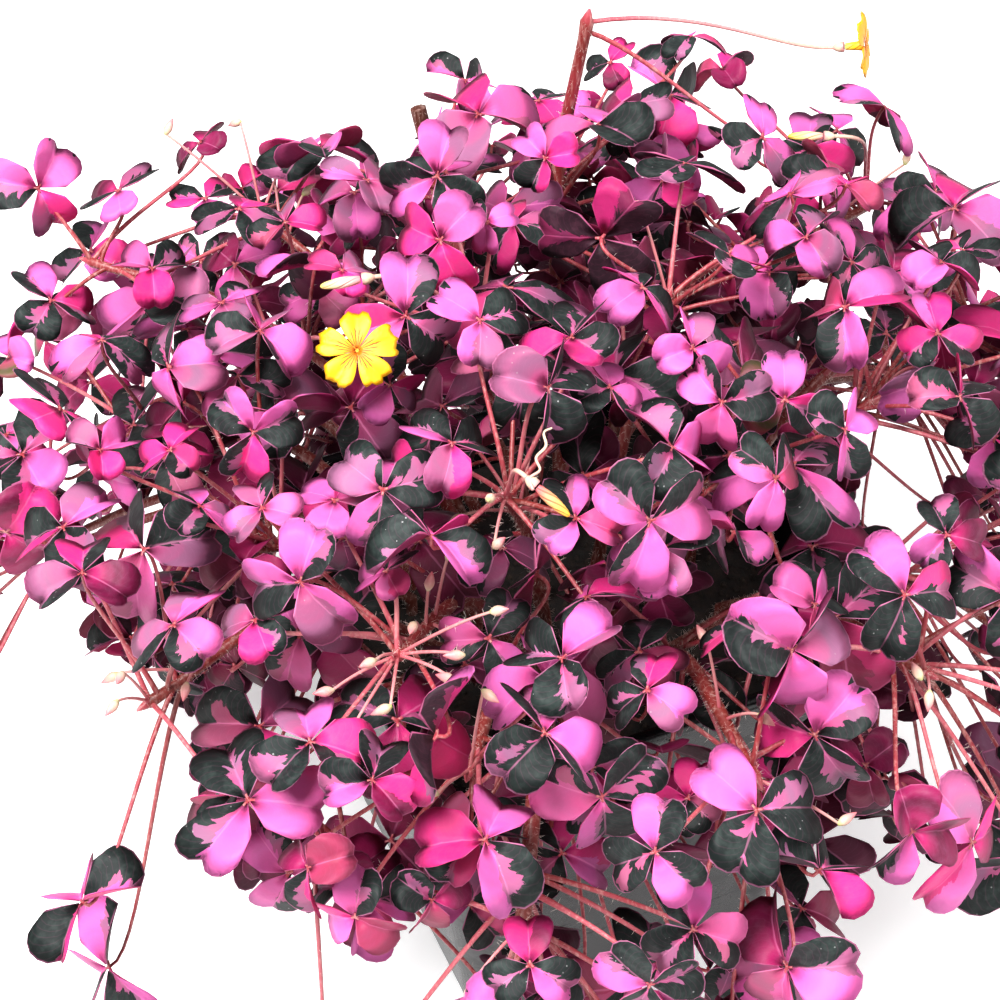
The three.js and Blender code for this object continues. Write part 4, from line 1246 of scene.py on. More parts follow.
class GeometryGraph(Graph):
    """A Geometry Nodes tree with named inputs, whose first input is the source mesh."""

    def __init__(self, name: str, numbers: tuple[str, ...], materials: tuple[str, ...]) -> None:
        """Starts a tree with the names of its inputs."""
        super().__init__(bpy.data.node_groups.new(name, "GeometryNodeTree"))
        self._socket("Source", "Geometry")
        for title in numbers:
            self._socket(title, "Float")
        for title in materials:
            self._socket(title, "Material")
        self._socket("Result", "Geometry", "OUTPUT")
        self.source = self.add("NodeGroupInput")

    def _socket(self, title: str, kind: str, side: str = "INPUT") -> None:
        """Gives the tree an input or an output."""
        self.tree.interface.new_socket(title, in_out=side, socket_type=f"NodeSocket{kind}")

    def form(self, kind: str, inputs: dict | None = None, output: str | int = 0,
             **settings: object) -> Value:
        """The output of a new node of the geometry kind."""
        return self.get(f"GeometryNode{kind}", inputs, output, **settings)

    def given(self, title: str) -> Value:
        """The value of a named input."""
        return Value(self, self.source.outputs[title])

    def named(self, title: str, kind: str = "FLOAT") -> Value:
        """A stored attribute."""
        return self.form("InputNamedAttribute", {"Name": title}, data_type=kind)

    def store(self, geometry: Value, title: str, value: object, kind: str = "FLOAT",
              domain: str = "POINT") -> Value:
        """Geometry with an attribute stored."""
        inputs = {"Geometry": geometry, "Name": title, "Value": value}
        return self.form("StoreNamedAttribute", inputs, data_type=kind, domain=domain)

    def draw(self, low: tuple, high: tuple, seed: int) -> Value:
        """A vector drawn for each copy between two others."""
        inputs = {0: low, 1: high, "Seed": seed}
        return self.get("FunctionNodeRandomValue", inputs, data_type="FLOAT_VECTOR")

    def turn(self, low: tuple, high: tuple, seed: int) -> Value:
        """A turn drawn for each copy, with its three angles between low and high."""
        return self.get("FunctionNodeEulerToRotation", {0: self.draw(low, high, seed)})

    def spots(self, density: Value, seed: int) -> tuple[Value, Value]:
        """Scattered points on the source's faces, and the turn that stands upright on them."""
        inputs = {"Mesh": self.given("Source"), "Density": density, "Seed": seed}
        node = self.add("GeometryNodeDistributePointsOnFaces", inputs)
        return Value(self, node.outputs[0]), Value(self, node.outputs["Rotation"])

    def copies(self, points: Value, shape: Value, **more: Value) -> Value:
        """Copies of a shape at points, as a mesh of their own."""
        inputs = {"Points": points, "Instance": shape, **more}
        return self.form("RealizeInstances", {0: self.form("InstanceOnPoints", inputs)})

    def finish(self, geometry: Value, *materials: tuple) -> bpy.types.NodeTree:
        """Ends the tree: smooth shading and, by selection, its materials."""
        result = self.form("SetShadeSmooth", {"Geometry": geometry})
        for selection, material in materials:
            inputs = {"Geometry": result, "Selection": selection, "Material": material}
            result = self.form("SetMaterial", inputs)
        self.add("NodeGroupOutput", {0: result})
        return self.tree


@dataclass(frozen=True)
class BladeTree:
    """Makes thin closed blades, one at each point of the source, from the point's attributes.

    The outline gives the blade's reach at shares of the angle between its rib and its side.
    """

    name: str
    outline: tuple[tuple[float, float], ...]
    steps_along: int = 4
    steps_across: int = 15
    start: float = 0.045
    bulge: float = 0.3
    ragged: float = 0.0
    teeth: float = 8
    ripple: float = 0.018
    ripples: float = 5
    widest: float = 0.6

    def build(self) -> bpy.types.NodeTree:
        """Builds the tree."""
        g = GeometryGraph(self.name, ("Thickness",), ("Upper", "Under"))
        blades = g.copies(g.given("Source"), self._sheet(g))
        placed = g.form("SetPosition", {"Geometry": blades, "Position": self._place(g)})
        under = g.named("under", "BOOLEAN")
        upper = g.get("FunctionNodeBooleanMath", {0: under}, operation="NOT")
        return g.finish(placed, (upper, g.given("Upper")), (under, g.given("Under")))

    def _sheet(self, g: GeometryGraph) -> Value:
        """A flat sheet and its underside, closed at the margin, with each point's place on it."""
        inputs = {"Vertices X": self.steps_along, "Vertices Y": self.steps_across}
        grid = g.form("MeshGrid", inputs)
        x, y, _ = g.split(g.form("InputPosition"))
        place = g.combine(x + 0.5, g.maths("SINE", y * math.pi))
        grid = g.store(grid, "place", place, "FLOAT_VECTOR")
        level = (abs(x) < 0.49) * (abs(y) < 0.49) * -1.0
        low = g.store(g.form("FlipFaces", {0: grid}), "level", level)
        low = g.form("SetPosition", {"Geometry": low, "Offset": g.combine(0.0, 0.0, level)})
        low = g.store(low, "under", True, "BOOLEAN", "FACE")
        high = g.store(g.store(grid, "level", 0.0), "under", False, "BOOLEAN", "FACE")
        join = g.add("GeometryNodeJoinGeometry")
        g.put(join.inputs[0], low)
        g.put(join.inputs[0], high)
        both = Value(g, join.outputs[0])
        return g.form("MergeByDistance", {"Geometry": both, "Distance": 1e-4})

    def _reach(self, g: GeometryGraph, beside: Value) -> Value:
        """The outline's reach at a share of the angle between rib and side."""
        curve = g.add("ShaderNodeFloatCurve", {"Value": beside})
        line = curve.mapping.curves[0]
        line.points[0].location, line.points[-1].location = self.outline[0], self.outline[-1]
        for point in self.outline[1:-1]:
            line.points.new(*point)
        curve.mapping.update()
        return Value(g, curve.outputs[0])

    def _place(self, g: GeometryGraph) -> Value:
        """Where each point of a sheet lies: its reach, the fold along the rib, droop and cupping."""
        along, across, _ = g.split(g.named("place", "FLOAT_VECTOR"))
        length, width, fold = g.split(g.named("blade", "FLOAT_VECTOR"))
        droop, cup, seed = g.split(g.named("bend", "FLOAT_VECTOR"))
        beside = abs(across)
        swell = along * (1.0 - along) * beside * (self.bulge * 4)
        angle = across * g.maths("ARCTANGENT", width / self.widest) * (swell + 1.0)
        tooth = g.maths("SINE", across * self.teeth + seed * 90.0) * along * self.ragged
        share = along * (1 - self.start) + self.start
        reach = share * self._reach(g, beside) * length * (tooth + 1.0)
        u = reach * g.maths("COSINE", angle)
        v = reach * g.maths("SINE", angle)
        dome = beside * (1.0 - beside) * 4.0 * along * (cup * length)
        wave = g.maths("SINE", across * self.ripples + seed * 60.0)
        wave = wave * (along * along) * (length * self.ripple)
        height = (abs(v) * fold - u * u * droop / length) + (dome + wave)
        height = height + g.named("level") * g.given("Thickness")
        place = g.named("hub", "FLOAT_VECTOR")
        for title, amount in (("way", u), ("side", v), ("facing", height)):
            step = g.vector("SCALE", g.named(title, "FLOAT_VECTOR"), scale=amount)
            place = g.vector("ADD", place, step)
        return place


@dataclass(frozen=True)
class TubeTree:
    """Makes round shoots along the lines of the source, as thick as its points say."""

    name: str
    sides: int = 8

    def build(self) -> bpy.types.NodeTree:
        """Builds the tree."""
        g = GeometryGraph(self.name, (), ("Finish",))
        lines = g.form("MeshToCurve", {0: g.given("Source")})
        ring = g.form("CurvePrimitiveCircle", {"Resolution": self.sides, "Radius": 1.0})
        angle = g.form("InputIndex") * (math.tau / self.sides)
        around = g.combine(g.maths("COSINE", angle), g.maths("SINE", angle))
        ring = g.store(ring, "around", around, "FLOAT_VECTOR")
        inputs = {"Curve": lines, "Profile Curve": ring, "Scale": g.named("thick"), "Fill Caps": True}
        real = g.form("RealizeInstances", {"Geometry": g.form("CurveToMesh", inputs)})
        return g.finish(real, (True, g.given("Finish")))


@dataclass(frozen=True)
class HairTree:
    """Sets fine tapered hairs on the source's faces, as dense as its points say."""

    name: str
    seed: int = 11
    tip: float = 0.25
    lean: float = 0.55
    shortest: float = 0.5
    longest: float = 1.3

    def build(self) -> bpy.types.NodeTree:
        """Builds the tree."""
        g = GeometryGraph(self.name, ("Density", "Length", "Radius"), ("Finish",))
        spots, upright = g.spots(g.given("Density") * g.named("fuzz"), self.seed)
        radius, depth = g.given("Radius"), g.given("Length")
        sizes = {"Radius Top": radius * self.tip, "Radius Bottom": radius, "Depth": depth}
        hair = g.form("MeshCone", {"Vertices": 3, **sizes})
        lean = g.turn((-self.lean, -self.lean, 0), (self.lean, self.lean, 6.28), self.seed + 1)
        turn = g.get("FunctionNodeRotateRotation", {0: upright, 1: lean}, rotation_space="LOCAL")
        inputs = {"Min": self.shortest, "Max": self.longest, "Seed": self.seed + 2}
        size = g.get("FunctionNodeRandomValue", inputs, 1, data_type="FLOAT")
        hairs = g.copies(spots, hair, Rotation=turn, Scale=g.combine(1.0, 1.0, size))
        return g.finish(hairs, (True, g.given("Finish")))


@dataclass(frozen=True)
class CrumbTree:
    """Strews crumbs of potting mix over the source's faces."""

    name: str
    seed: int = 5
    least: tuple[float, float, float] = (0.5, 0.35, 0.3)
    most: tuple[float, float, float] = (1.5, 1.1, 0.8)

    def build(self) -> bpy.types.NodeTree:
        """Builds the tree."""
        g = GeometryGraph(self.name, ("Density", "Size"), ("Finish",))
        spots, _ = g.spots(g.given("Density"), self.seed)
        crumb = g.form("MeshIcoSphere", {"Radius": g.given("Size"), "Subdivisions": 1})
        turn = g.turn((0, 0, 0), (6.28, 6.28, 6.28), self.seed + 1)
        size = g.draw(self.least, self.most, self.seed + 2)
        crumbs = g.copies(spots, crumb, Rotation=turn, Scale=size)
        return g.finish(crumbs, (True, g.given("Finish")))


class Shade(Graph):
    """A material's node tree with its main shader and the colour sums that the finishes share."""

    def __init__(self, name: str) -> None:
        """Starts a material with its main shader."""
        self.material = bpy.data.materials.new(name)
        self.material.use_nodes = True
        super().__init__(self.material.node_tree)
        self.shader = self.tree.nodes["Principled BSDF"]
        self.place = self.get("ShaderNodeTexCoord", output="Object")

    def attribute(self, title: str, output: str = "Vector") -> Value:
        """A stored attribute of the surface."""
        return self.get("ShaderNodeAttribute", output=output, attribute_name=title)

    def mix(self, factor: object, a: object, b: object, blend: str = "MIX") -> Value:
        """A mix of two colours."""
        inputs = {0: factor, 6: a, 7: b}
        return self.get("ShaderNodeMix", inputs, 2, data_type="RGBA", blend_type=blend)

    def choose(self, factor: Value, a: object, b: object) -> Value:
        """One of two numbers: a where the factor is 0, b where it is 1."""
        return self.get("ShaderNodeMix", {0: factor, 2: a, 3: b})

    def ramp(self, value: object, stops: list[tuple], constant: bool = False) -> Value:
        """A colour by a value, from stops of place and colour."""
        node = self.add("ShaderNodeValToRGB", {0: value})
        node.color_ramp.interpolation = "CONSTANT" if constant else "LINEAR"
        elements = node.color_ramp.elements
        elements[0].position, elements[0].color = stops[0]
        elements[1].position, elements[1].color = stops[-1]
        for place, colour in stops[1:-1]:
            elements.new(place).color = colour
        return Value(self, node.outputs[0])

    def noise(self, vector: object, scale: float, detail: float = 2.0, rough: float = 0.5) -> Value:
        """Soft noise between 0 and 1."""
        inputs = {"Vector": vector, "Scale": scale, "Detail": detail, "Roughness": rough}
        return self.get("ShaderNodeTexNoise", inputs)

    def cells(self, scale: float) -> Value:
        """Distance to the nearest of many scattered points."""
        return self.get("ShaderNodeTexVoronoi", {"Vector": self.place, "Scale": scale}, "Distance")

    def bump(self, height: object, strength: float, distance: float) -> None:
        """Gives the shader a bump."""
        inputs = {"Height": height, "Strength": strength, "Distance": distance}
        self.put(self.shader.inputs["Normal"], self.get("ShaderNodeBump", inputs))

    def done(self, colour: object, roughness: object, **constants: float) -> bpy.types.Material:
        """Sets colour and roughness and, by name, other inputs of the shader."""
        self.put(self.shader.inputs["Base Color"], colour)
        self.put(self.shader.inputs["Roughness"], roughness)
        for title, value in constants.items():
            self.shader.inputs[title.replace("_", " ")].default_value = value
        return self.material


@dataclass(frozen=True)
class LeafFinish:
    """A patched leaf: tints to both sides of a jagged border, mottling, veins, a pale margin and
    painted shade inside the mound.
    """

    name: str
    palette: dict[Tint, Colour]
    margin: Colour
    mottle: Colour
    coral: Colour = (214, 84, 116)
    speck: Colour = (190, 190, 190)
    roughness: float = 0.56
    veins: float = 9.0
    slant: float = 0.42
    border_shift: float = 0.7
    border_jag: float = 1.2

    def build(self) -> bpy.types.Material:
        """Builds the material."""
        s = Shade(self.name)
        along, across, _ = s.split(s.attribute("place"))
        left, right, seed = s.split(s.attribute("tints"))
        beside = abs(across)
        vein = along - beside * self.slant
        jag = self._jag(s, vein, s.maths("SIGN", across), seed)
        border = (self._draw(s, seed, 37.0) - 0.5) * self.border_shift * s.step(along, 0.0, 0.45)
        off = across - (border + (jag - 0.5) * self.border_jag)
        tint = s.choose(off > 0.0, right, left)
        tint = self._with_mauve(s, tint, off, vein, seed)
        tint = self._with_patch(s, tint, along, beside, seed)
        count = len(Tint)
        stops = [(kind.number / count, self._tone(kind)) for kind in Tint]
        colour = s.ramp((tint + 0.5) / count, stops, constant=True)
        dark = self._is_charcoal(tint)
        middle = abs(tint - 1.5) < 0.8
        colour = self._mottled(s, colour, dark, middle, seed)
        colour = self._warmed_and_shaded(s, colour, dark, along, seed)
        ribs = self._ribs(s, along, beside, vein)
        colour = s.mix(ribs * 0.2, colour, light(*self.margin))
        rim = s.maths("MINIMUM", 1.0 - along, (1.0 - beside) * 0.55)
        rim = (1.0 - s.step(rim, 0.008, 0.03)) * (middle * 0.3 + 0.2)
        colour = s.mix(rim, colour, light(*self.margin))
        s.bump(s.noise(s.place, 1500.0) * 0.5 - ribs, 0.25, 0.0003)
        return s.done(colour, dark * 0.06 + self.roughness, Specular_IOR_Level=0.22)

    def _tone(self, tint: Tint) -> tuple[float, float, float, float]:
        """The colour of a tint as light values."""
        return light(*self.palette[tint])

    @staticmethod
    def _draw(s: Shade, seed: Value, factor: float) -> Value:
        """A number between 0 and 1 that differs from leaflet to leaflet."""
        return s.maths("FRACT", seed * factor)

    @staticmethod
    def _is_charcoal(tint: Value) -> Value:
        """1 where the tint is charcoal."""
        return abs(tint - float(Tint.CHARCOAL.number)) < 0.5

    def _jag(self, s: Shade, vein: Value, half: Value, seed: Value) -> Value:
        """A ragged value that changes from one side vein to the next."""
        key = seed * 91.0 + half * 7.0
        soft = s.noise(s.combine(vein * 1.8, key), 1.0, 4.0, 0.62)
        cell = s.combine(s.maths("FLOOR", vein * self.veins), key)
        white = s.get("ShaderNodeTexWhiteNoise", {"Vector": cell}, noise_dimensions="3D")
        return soft * 0.91 + white * 0.09

    def _with_mauve(self, s: Shade, tint: Value, off: Value, vein: Value, seed: Value) -> Value:
        """Turns charcoal next to the border to mauve on some leaflets."""
        key = s.combine(vein * 1.6, seed * 53.0, 4.0)
        near = abs(off) < s.noise(key, 1.0, 3.0, 0.65) * 2.4 - 1.0
        return s.choose(near * self._is_charcoal(tint), tint, float(Tint.MAUVE.number))

    @staticmethod
    def _with_patch(s: Shade, tint: Value, along: Value, beside: Value, seed: Value) -> Value:
        """Turns a patch at the outer edge of some pink halves to charcoal."""
        key = s.combine(beside * 1.4, seed * 71.0, 9.0)
        patch = (s.noise(key, 1.0, 3.0, 0.7) - 0.6) * 2.2 > 1.0 - along
        return s.choose(patch * (tint < 0.5), tint, float(Tint.CHARCOAL.number))

    def _mottled(self, s: Shade, colour: Value, dark: Value, middle: Value, seed: Value) -> Value:
        """Pale mottles and specks on the dark parts."""
        cloud = s.step(s.noise(s.place, 420.0, 3.0, 0.6), 0.42, 0.72)
        colour = s.mix(cloud * dark * 0.45, colour, light(*self.mottle))
        specks = (s.cells(700.0) < 0.11) * s.step(s.noise(s.place, 160.0), 0.5, 0.62)
        return s.mix(specks * (middle * 0.45), colour, light(*self.speck))

    def _warmed_and_shaded(self, s: Shade, colour: Value, dark: Value, along: Value, seed: Value) -> Value:
        """Deeper pink towards the hub on the bright parts; painted shade that darkens all inside the
        mound; and a random dimming of each leaflet, partly age and partly painted shade.
        """
        mauve, hot, deep = (self._tone(tint) for tint in (Tint.MAUVE, Tint.HOT, Tint.DEEP))
        bright = 1.0 - dark
        shift = s.step(s.noise(s.combine(along * 2.0, seed * 31.0), 1.2), 0.3, 0.75)
        warm = s.mix(s.step(along, 0.6, 0.0) * 0.5, colour, hot)
        warm = s.mix(shift * 0.35, warm, hot)
        warm = s.mix(s.step(self._draw(s, seed, 29.0), 0.7, 1.0) * 0.45, warm, light(*self.coral))
        grain = s.step(s.noise(s.place, 520.0, 4.0, 0.65), 0.35, 0.75)
        warm = s.mix(grain * 0.16, warm, mauve)
        # Painted shade: the deeper a leaf lies in the mound, the more its bright parts turn to the
        # deep tint and the darker it all gets.
        depth = s.split(s.attribute("shade"))[0]
        colour = s.mix(depth * bright * 0.6, s.mix(bright, colour, warm), deep)
        # Each leaflet is dimmed at random, partly for age and partly as painted shade, and more with
        # depth, which is painted shade.
        shade_and_age_dim = (self._draw(s, seed, 17.0) * 0.36 + 0.64) * (1.0 - depth * 0.6)
        return s.mix(1.0, colour, s.combine(shade_and_age_dim, shade_and_age_dim, shade_and_age_dim), "MULTIPLY")

    def _ribs(self, s: Shade, along: Value, beside: Value, vein: Value) -> Value:
        """Thin lines along the rib and the side veins."""
        rib = 1.0 - s.step(beside * along, 0.006, 0.03)
        side = abs(s.maths("FRACT", vein * self.veins) - 0.5)
        return s.maths("MAXIMUM", rib, (1.0 - s.step(side, 0.02, 0.12)) * 0.08)


@dataclass(frozen=True)
class ShootFinish:
    """Stems, stalks, cups and buds, coloured by the tone of each point from pale buds to bark."""

    name: str = "shoot_skin"
    streaks: Colour = (232, 190, 180)
    tones: tuple[tuple[float, Colour], ...] = (
        (0.0, (160, 168, 90)),
        (0.12, (214, 192, 160)),
        (0.28, (206, 136, 136)),
        (0.45, (184, 84, 96)),
        (0.62, (150, 48, 58)),
        (0.78, (120, 34, 30)),
        (0.92, (92, 34, 22)),
        (1.0, (60, 34, 24)),
    )

    def build(self) -> bpy.types.Material:
        """Builds the material."""
        s = Shade(self.name)
        drift = (s.noise(s.place, 90.0, 3.0) - 0.5) * 0.3
        stops = [(where, light(*colour)) for where, colour in self.tones]
        colour = s.ramp(s.maths("ADD", s.attribute("tone", "Fac"), drift, clamp=True), stops)
        streak = s.noise(s.vector("MULTIPLY", s.place, (1.0, 1.0, 0.25)), 1400.0)
        colour = s.mix(s.step(streak, 0.45, 0.8) * 0.3, colour, light(*self.streaks))
        s.bump(streak, 0.35, 0.0003)
        return s.done(colour, s.noise(s.place, 300.0) * 0.2 + 0.36, Specular_IOR_Level=0.5)


@dataclass(frozen=True)
class PetalFinish:
    """Yellow petals with brown lines that run out of the throat."""

    name: str = "petal_yellow"
    body: Colour = (232, 160, 0)
    deep: Colour = (214, 106, 4)
    line: Colour = (104, 40, 6)
    glow: Colour = (250, 208, 40)

    def build(self) -> bpy.types.Material:
        """Builds the material."""
        s = Shade(self.name)
        along, across, _ = s.split(s.attribute("place"))
        wander = s.noise(s.combine(along * 5.0, across, 2.0), 1.5)
        line = abs(s.maths("FRACT", across * 2.6 + wander * 0.5) - 0.5)
        line = 1.0 - s.step(line, 0.08, 0.2)
        line = line * s.step((0.7 - abs(across) * 0.3) - along, 0.0, 0.2)
        colour = s.mix(s.step(along, 0.4, 0.05), light(*self.body), light(*self.deep))
        colour = s.mix(line * 0.95, colour, light(*self.line))
        pale = s.step(s.noise(s.place, 500.0, 3.0), 0.5, 0.8)
        colour = s.mix(pale * 0.2, colour, light(*self.glow))
        s.bump(pale * 0.4 + line * -0.5, 0.4, 0.0004)
        return s.done(colour, 0.5, Specular_IOR_Level=0.35)


@dataclass(frozen=True)
class FurledFinish:
    """A furled or faded bloom: petals wound about each other, paler at the tip or at the foot, with
    painted shade in the creases between them.
    """

    name: str
    foot: Colour
    body: Colour
    tip: Colour
    crease_shade: Colour
    petals: float = 5.0
    twist: float = 2.2

    def build(self) -> bpy.types.Material:
        """Builds the material."""
        s = Shade(self.name)
        along = s.attribute("tone", "Fac")
        x, y, _ = s.split(s.attribute("around"))
        angle = s.maths("ARCTAN2", y, x) / math.tau
        turn = s.maths("FRACT", angle * self.petals + along * self.twist)
        fold = 1.0 - s.step(abs(turn - 0.5), 0.02, 0.2)
        stops = [(0.0, light(*self.foot)), (0.45, light(*self.body)), (1.0, light(*self.tip))]
        # Painted shade: the folds where the wound petals meet take the darker crease colour.
        colour = s.mix(fold * 0.7, s.ramp(along, stops), light(*self.crease_shade))
        s.bump(s.noise(s.place, 900.0, 3.0) * 0.3 - fold, 0.5, 0.0005)
        return s.done(colour, 0.5, Specular_IOR_Level=0.35)


@dataclass(frozen=True)
class PlasticFinish:
    """Black glossy moulded plastic with a fine grain, scuffs and a little dust."""

    name: str = "pot_plastic"
    body: Colour = (6, 7, 9)
    dust: Colour = (26, 25, 24)
    scuff: Colour = (44, 46, 48)

    def build(self) -> bpy.types.Material:
        """Builds the material."""
        s = Shade(self.name)
        dust = s.step(s.noise(s.place, 35.0, 5.0, 0.65), 0.5, 0.8)
        scuff = s.noise(s.vector("MULTIPLY", s.place, (1.0, 1.0, 12.0)), 60.0, 4.0, 0.7)
        scuff = s.step(scuff, 0.62, 0.7)
        colour = s.mix(dust * 0.2, light(*self.body), light(*self.dust))
        colour = s.mix(scuff * 0.2, colour, light(*self.scuff))
        s.bump(s.noise(s.place, 2600.0) + scuff * 0.5, 0.12, 0.0004)
        return s.done(colour, dust * 0.25 + scuff * 0.2 + 0.26, Specular_IOR_Level=0.25)


@dataclass(frozen=True)
class SoilFinish:
    """Dark brown potting mix with paler fibres and grains."""

    name: str
    # The default colours, which the bed takes, are kept very dark: partly the mix's own colour,
    # partly painted shade of the leaves over it.
    dark: Colour = (15, 10, 8)
    pale: Colour = (46, 32, 24)

    def build(self) -> bpy.types.Material:
        """Builds the material."""
        s = Shade(self.name)
        grain = s.noise(s.place, 420.0, 6.0, 0.7)
        colour = s.mix(s.step(grain, 0.4, 0.75), light(*self.dark), light(*self.pale))
        s.bump(grain + s.cells(260.0) * -0.6, 0.8, 0.001)
        return s.done(colour, grain * 0.25 + 0.68)


@dataclass(frozen=True)
class HairFinish:
    """Pale translucent hairs, with a tint that drifts from place to place."""

    name: str = "pale_hair"
    rosy: Colour = (214, 180, 172)
    white: Colour = (244, 230, 220)

    def build(self) -> bpy.types.Material:
        """Builds the material."""
        s = Shade(self.name)
        drift = s.step(s.noise(s.place, 250.0), 0.35, 0.65)
        return s.done(s.mix(drift, light(*self.rosy), light(*self.white)), 0.45)


OUTER_SIDE = {
    Tint.PINK: (228, 106, 184), Tint.CHARCOAL: (20, 28, 27), Tint.MAUVE: (150, 96, 130),
    Tint.HOT: (230, 44, 128), Tint.DEEP: (96, 10, 50), Tint.OLIVE: (78, 84, 44),
}
UNDER_SIDE = {
    Tint.PINK: (206, 42, 120), Tint.CHARCOAL: (44, 20, 32), Tint.MAUVE: (116, 42, 80),
    Tint.HOT: (178, 18, 82), Tint.DEEP: (70, 6, 32), Tint.OLIVE: (92, 72, 42),
}


def new_mesh(name: str, points: list, edges: list = (), faces: list = ()) -> bpy.types.Mesh:
    """A mesh in metres from points in millimetres."""
    mesh = bpy.data.meshes.new(name)
    mesh.from_pydata([tuple(Vector(point) * MM) for point in points], list(edges), list(faces))
    mesh.update()
    return mesh


def set_attribute(mesh: bpy.types.Mesh, title: str, kind: str, values: list) -> None:
    """Stores one value for each point of a mesh."""
    attribute = mesh.attributes.new(title, kind, "POINT")
    key = "vector" if kind == "FLOAT_VECTOR" else "value"
    attribute.data.foreach_set(key, np.array(values, np.float32).ravel())


def placed(name: str, data: bpy.types.ID) -> bpy.types.Object:
    """A new object in the scene, at the origin."""
    obj = bpy.data.objects.new(name, data)
    bpy.context.scene.collection.objects.link(obj)
    return obj


def baked(obj: bpy.types.Object) -> bpy.types.Mesh:
    """The mesh that an object's modifiers make."""
    bpy.context.view_layer.update()
    graph = bpy.context.evaluated_depsgraph_get()
    return bpy.data.meshes.new_from_object(obj.evaluated_get(graph))


def lofted(name: str, rings: list[list]) -> bpy.types.Mesh:
    """A closed body through rings, with flat ends.

    Args:
        name: name of the mesh.
        rings: rings with equally many points, which turn left seen from the last ring.

    Returns:
        The mesh.
    """
    count = len(rings[0])
    last = (len(rings) - 1) * count
    faces = [
        (low + k, low + (k + 1) % count, low + count + (k + 1) % count, low + count + k)
        for low in range(0, last, count)
        for k in range(count)
    ]
    faces += [tuple(reversed(range(count))), tuple(range(last, last + count))]
    return new_mesh(name, [point for ring in rings for point in ring], faces=faces)


def dressed(name: str, source: bpy.types.Mesh, tree: bpy.types.NodeTree,
            values: dict[str, object]) -> bpy.types.Object:
    """The plain mesh that a tree makes of a source.

    Args:
        name: name of the finished piece.
        source: the points or lines that the tree starts from.
        tree: the Geometry Nodes tree.
        values: the tree's inputs by name.

    Returns:
        An object at the origin that holds the finished mesh.
    """
    obj = placed(name, source)
    modifier = obj.modifiers.new("make", "NODES")
    modifier.node_group = tree
    sockets = {item.name: item.identifier for item in tree.interface.items_tree}
    for title, value in values.items():
        modifier[sockets[title]] = value
    mesh = baked(obj)
    obj.modifiers.remove(modifier)
    obj.data = mesh
    mesh.name = name
    bpy.data.meshes.remove(source)
    return obj


def bladed(name: str, rows: list[dict[str, tuple]], tree: bpy.types.NodeTree,
           values: dict[str, object]) -> bpy.types.Object:
    """The blades that a blade tree grows.

    Args:
        name: name of the finished piece.
        rows: for each blade its attributes by name, all of three numbers, with the hub in metres.
        tree: the Geometry Nodes tree.
        values: the tree's inputs by name.

    Returns:
        The finished piece.
    """
    mesh = new_mesh(name, [Vector(row["hub"]) / MM for row in rows])
    for title in rows[0]:
        set_attribute(mesh, title, "FLOAT_VECTOR", [tuple(row[title]) for row in rows])
    return dressed(name, mesh, tree, values)


def add_piece(obj: bpy.types.Object, slot: str, *nodes: str) -> None:
    """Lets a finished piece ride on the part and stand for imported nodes."""
    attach(obj, "root")
    if nodes:
        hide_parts(*nodes)
    log.info("%s: %d faces", obj.name, len(obj.data.polygons))


@dataclass(frozen=True)
class PotBody:
    """The square pot: a smooth shell through the rings of its profile, with four drain holes."""

    pot: Pot
    finish: PlasticFinish = PlasticFinish()

    HOLES = 4

    def build(self) -> None:
        """Builds the pot and dresses it."""
        rings = [self.pot.ring(half, height) for half, height in self.pot.profile()]
        obj = placed("nursery_pot", lofted("nursery_pot", rings))
        self._drill(obj)
        obj.data.materials.clear()
        obj.data.materials.append(self.finish.build())
        obj.data.shade_smooth()
        add_piece(obj, "pot_plastic", "pot")

    def _drill(self, obj: bpy.types.Object) -> None:
        """Cuts the drain holes through the floor."""
        cutters = []
        for turn in range(self.HOLES):
            rings = [self._circle(turn, height) for height in (-self.pot.floor, self.pot.floor * 2)]
            cutter = placed(f"drain_{turn}", lofted("drain", rings))
            cut = obj.modifiers.new("drain", "BOOLEAN")
            cut.operation, cut.object, cut.solver = "DIFFERENCE", cutter, "EXACT"
            cutters.append(cutter)
        mesh = baked(obj)
        obj.modifiers.clear()
        obj.data = mesh
        for cutter in cutters:
            bpy.data.objects.remove(cutter)

    def _circle(self, turn: int, height: float) -> list[tuple[float, float, float]]:
        """The outline of one drain hole at a height."""
        pot, angle = self.pot, turn * math.tau / self.HOLES
        x, y = math.cos(angle) * pot.drain_spread, math.sin(angle) * pot.drain_spread
        ways = [k / pot.drain_sides * math.tau for k in range(pot.drain_sides)]
        radius = pot.drain_radius
        return [(x + math.cos(way) * radius, y + math.sin(way) * radius, height) for way in ways]


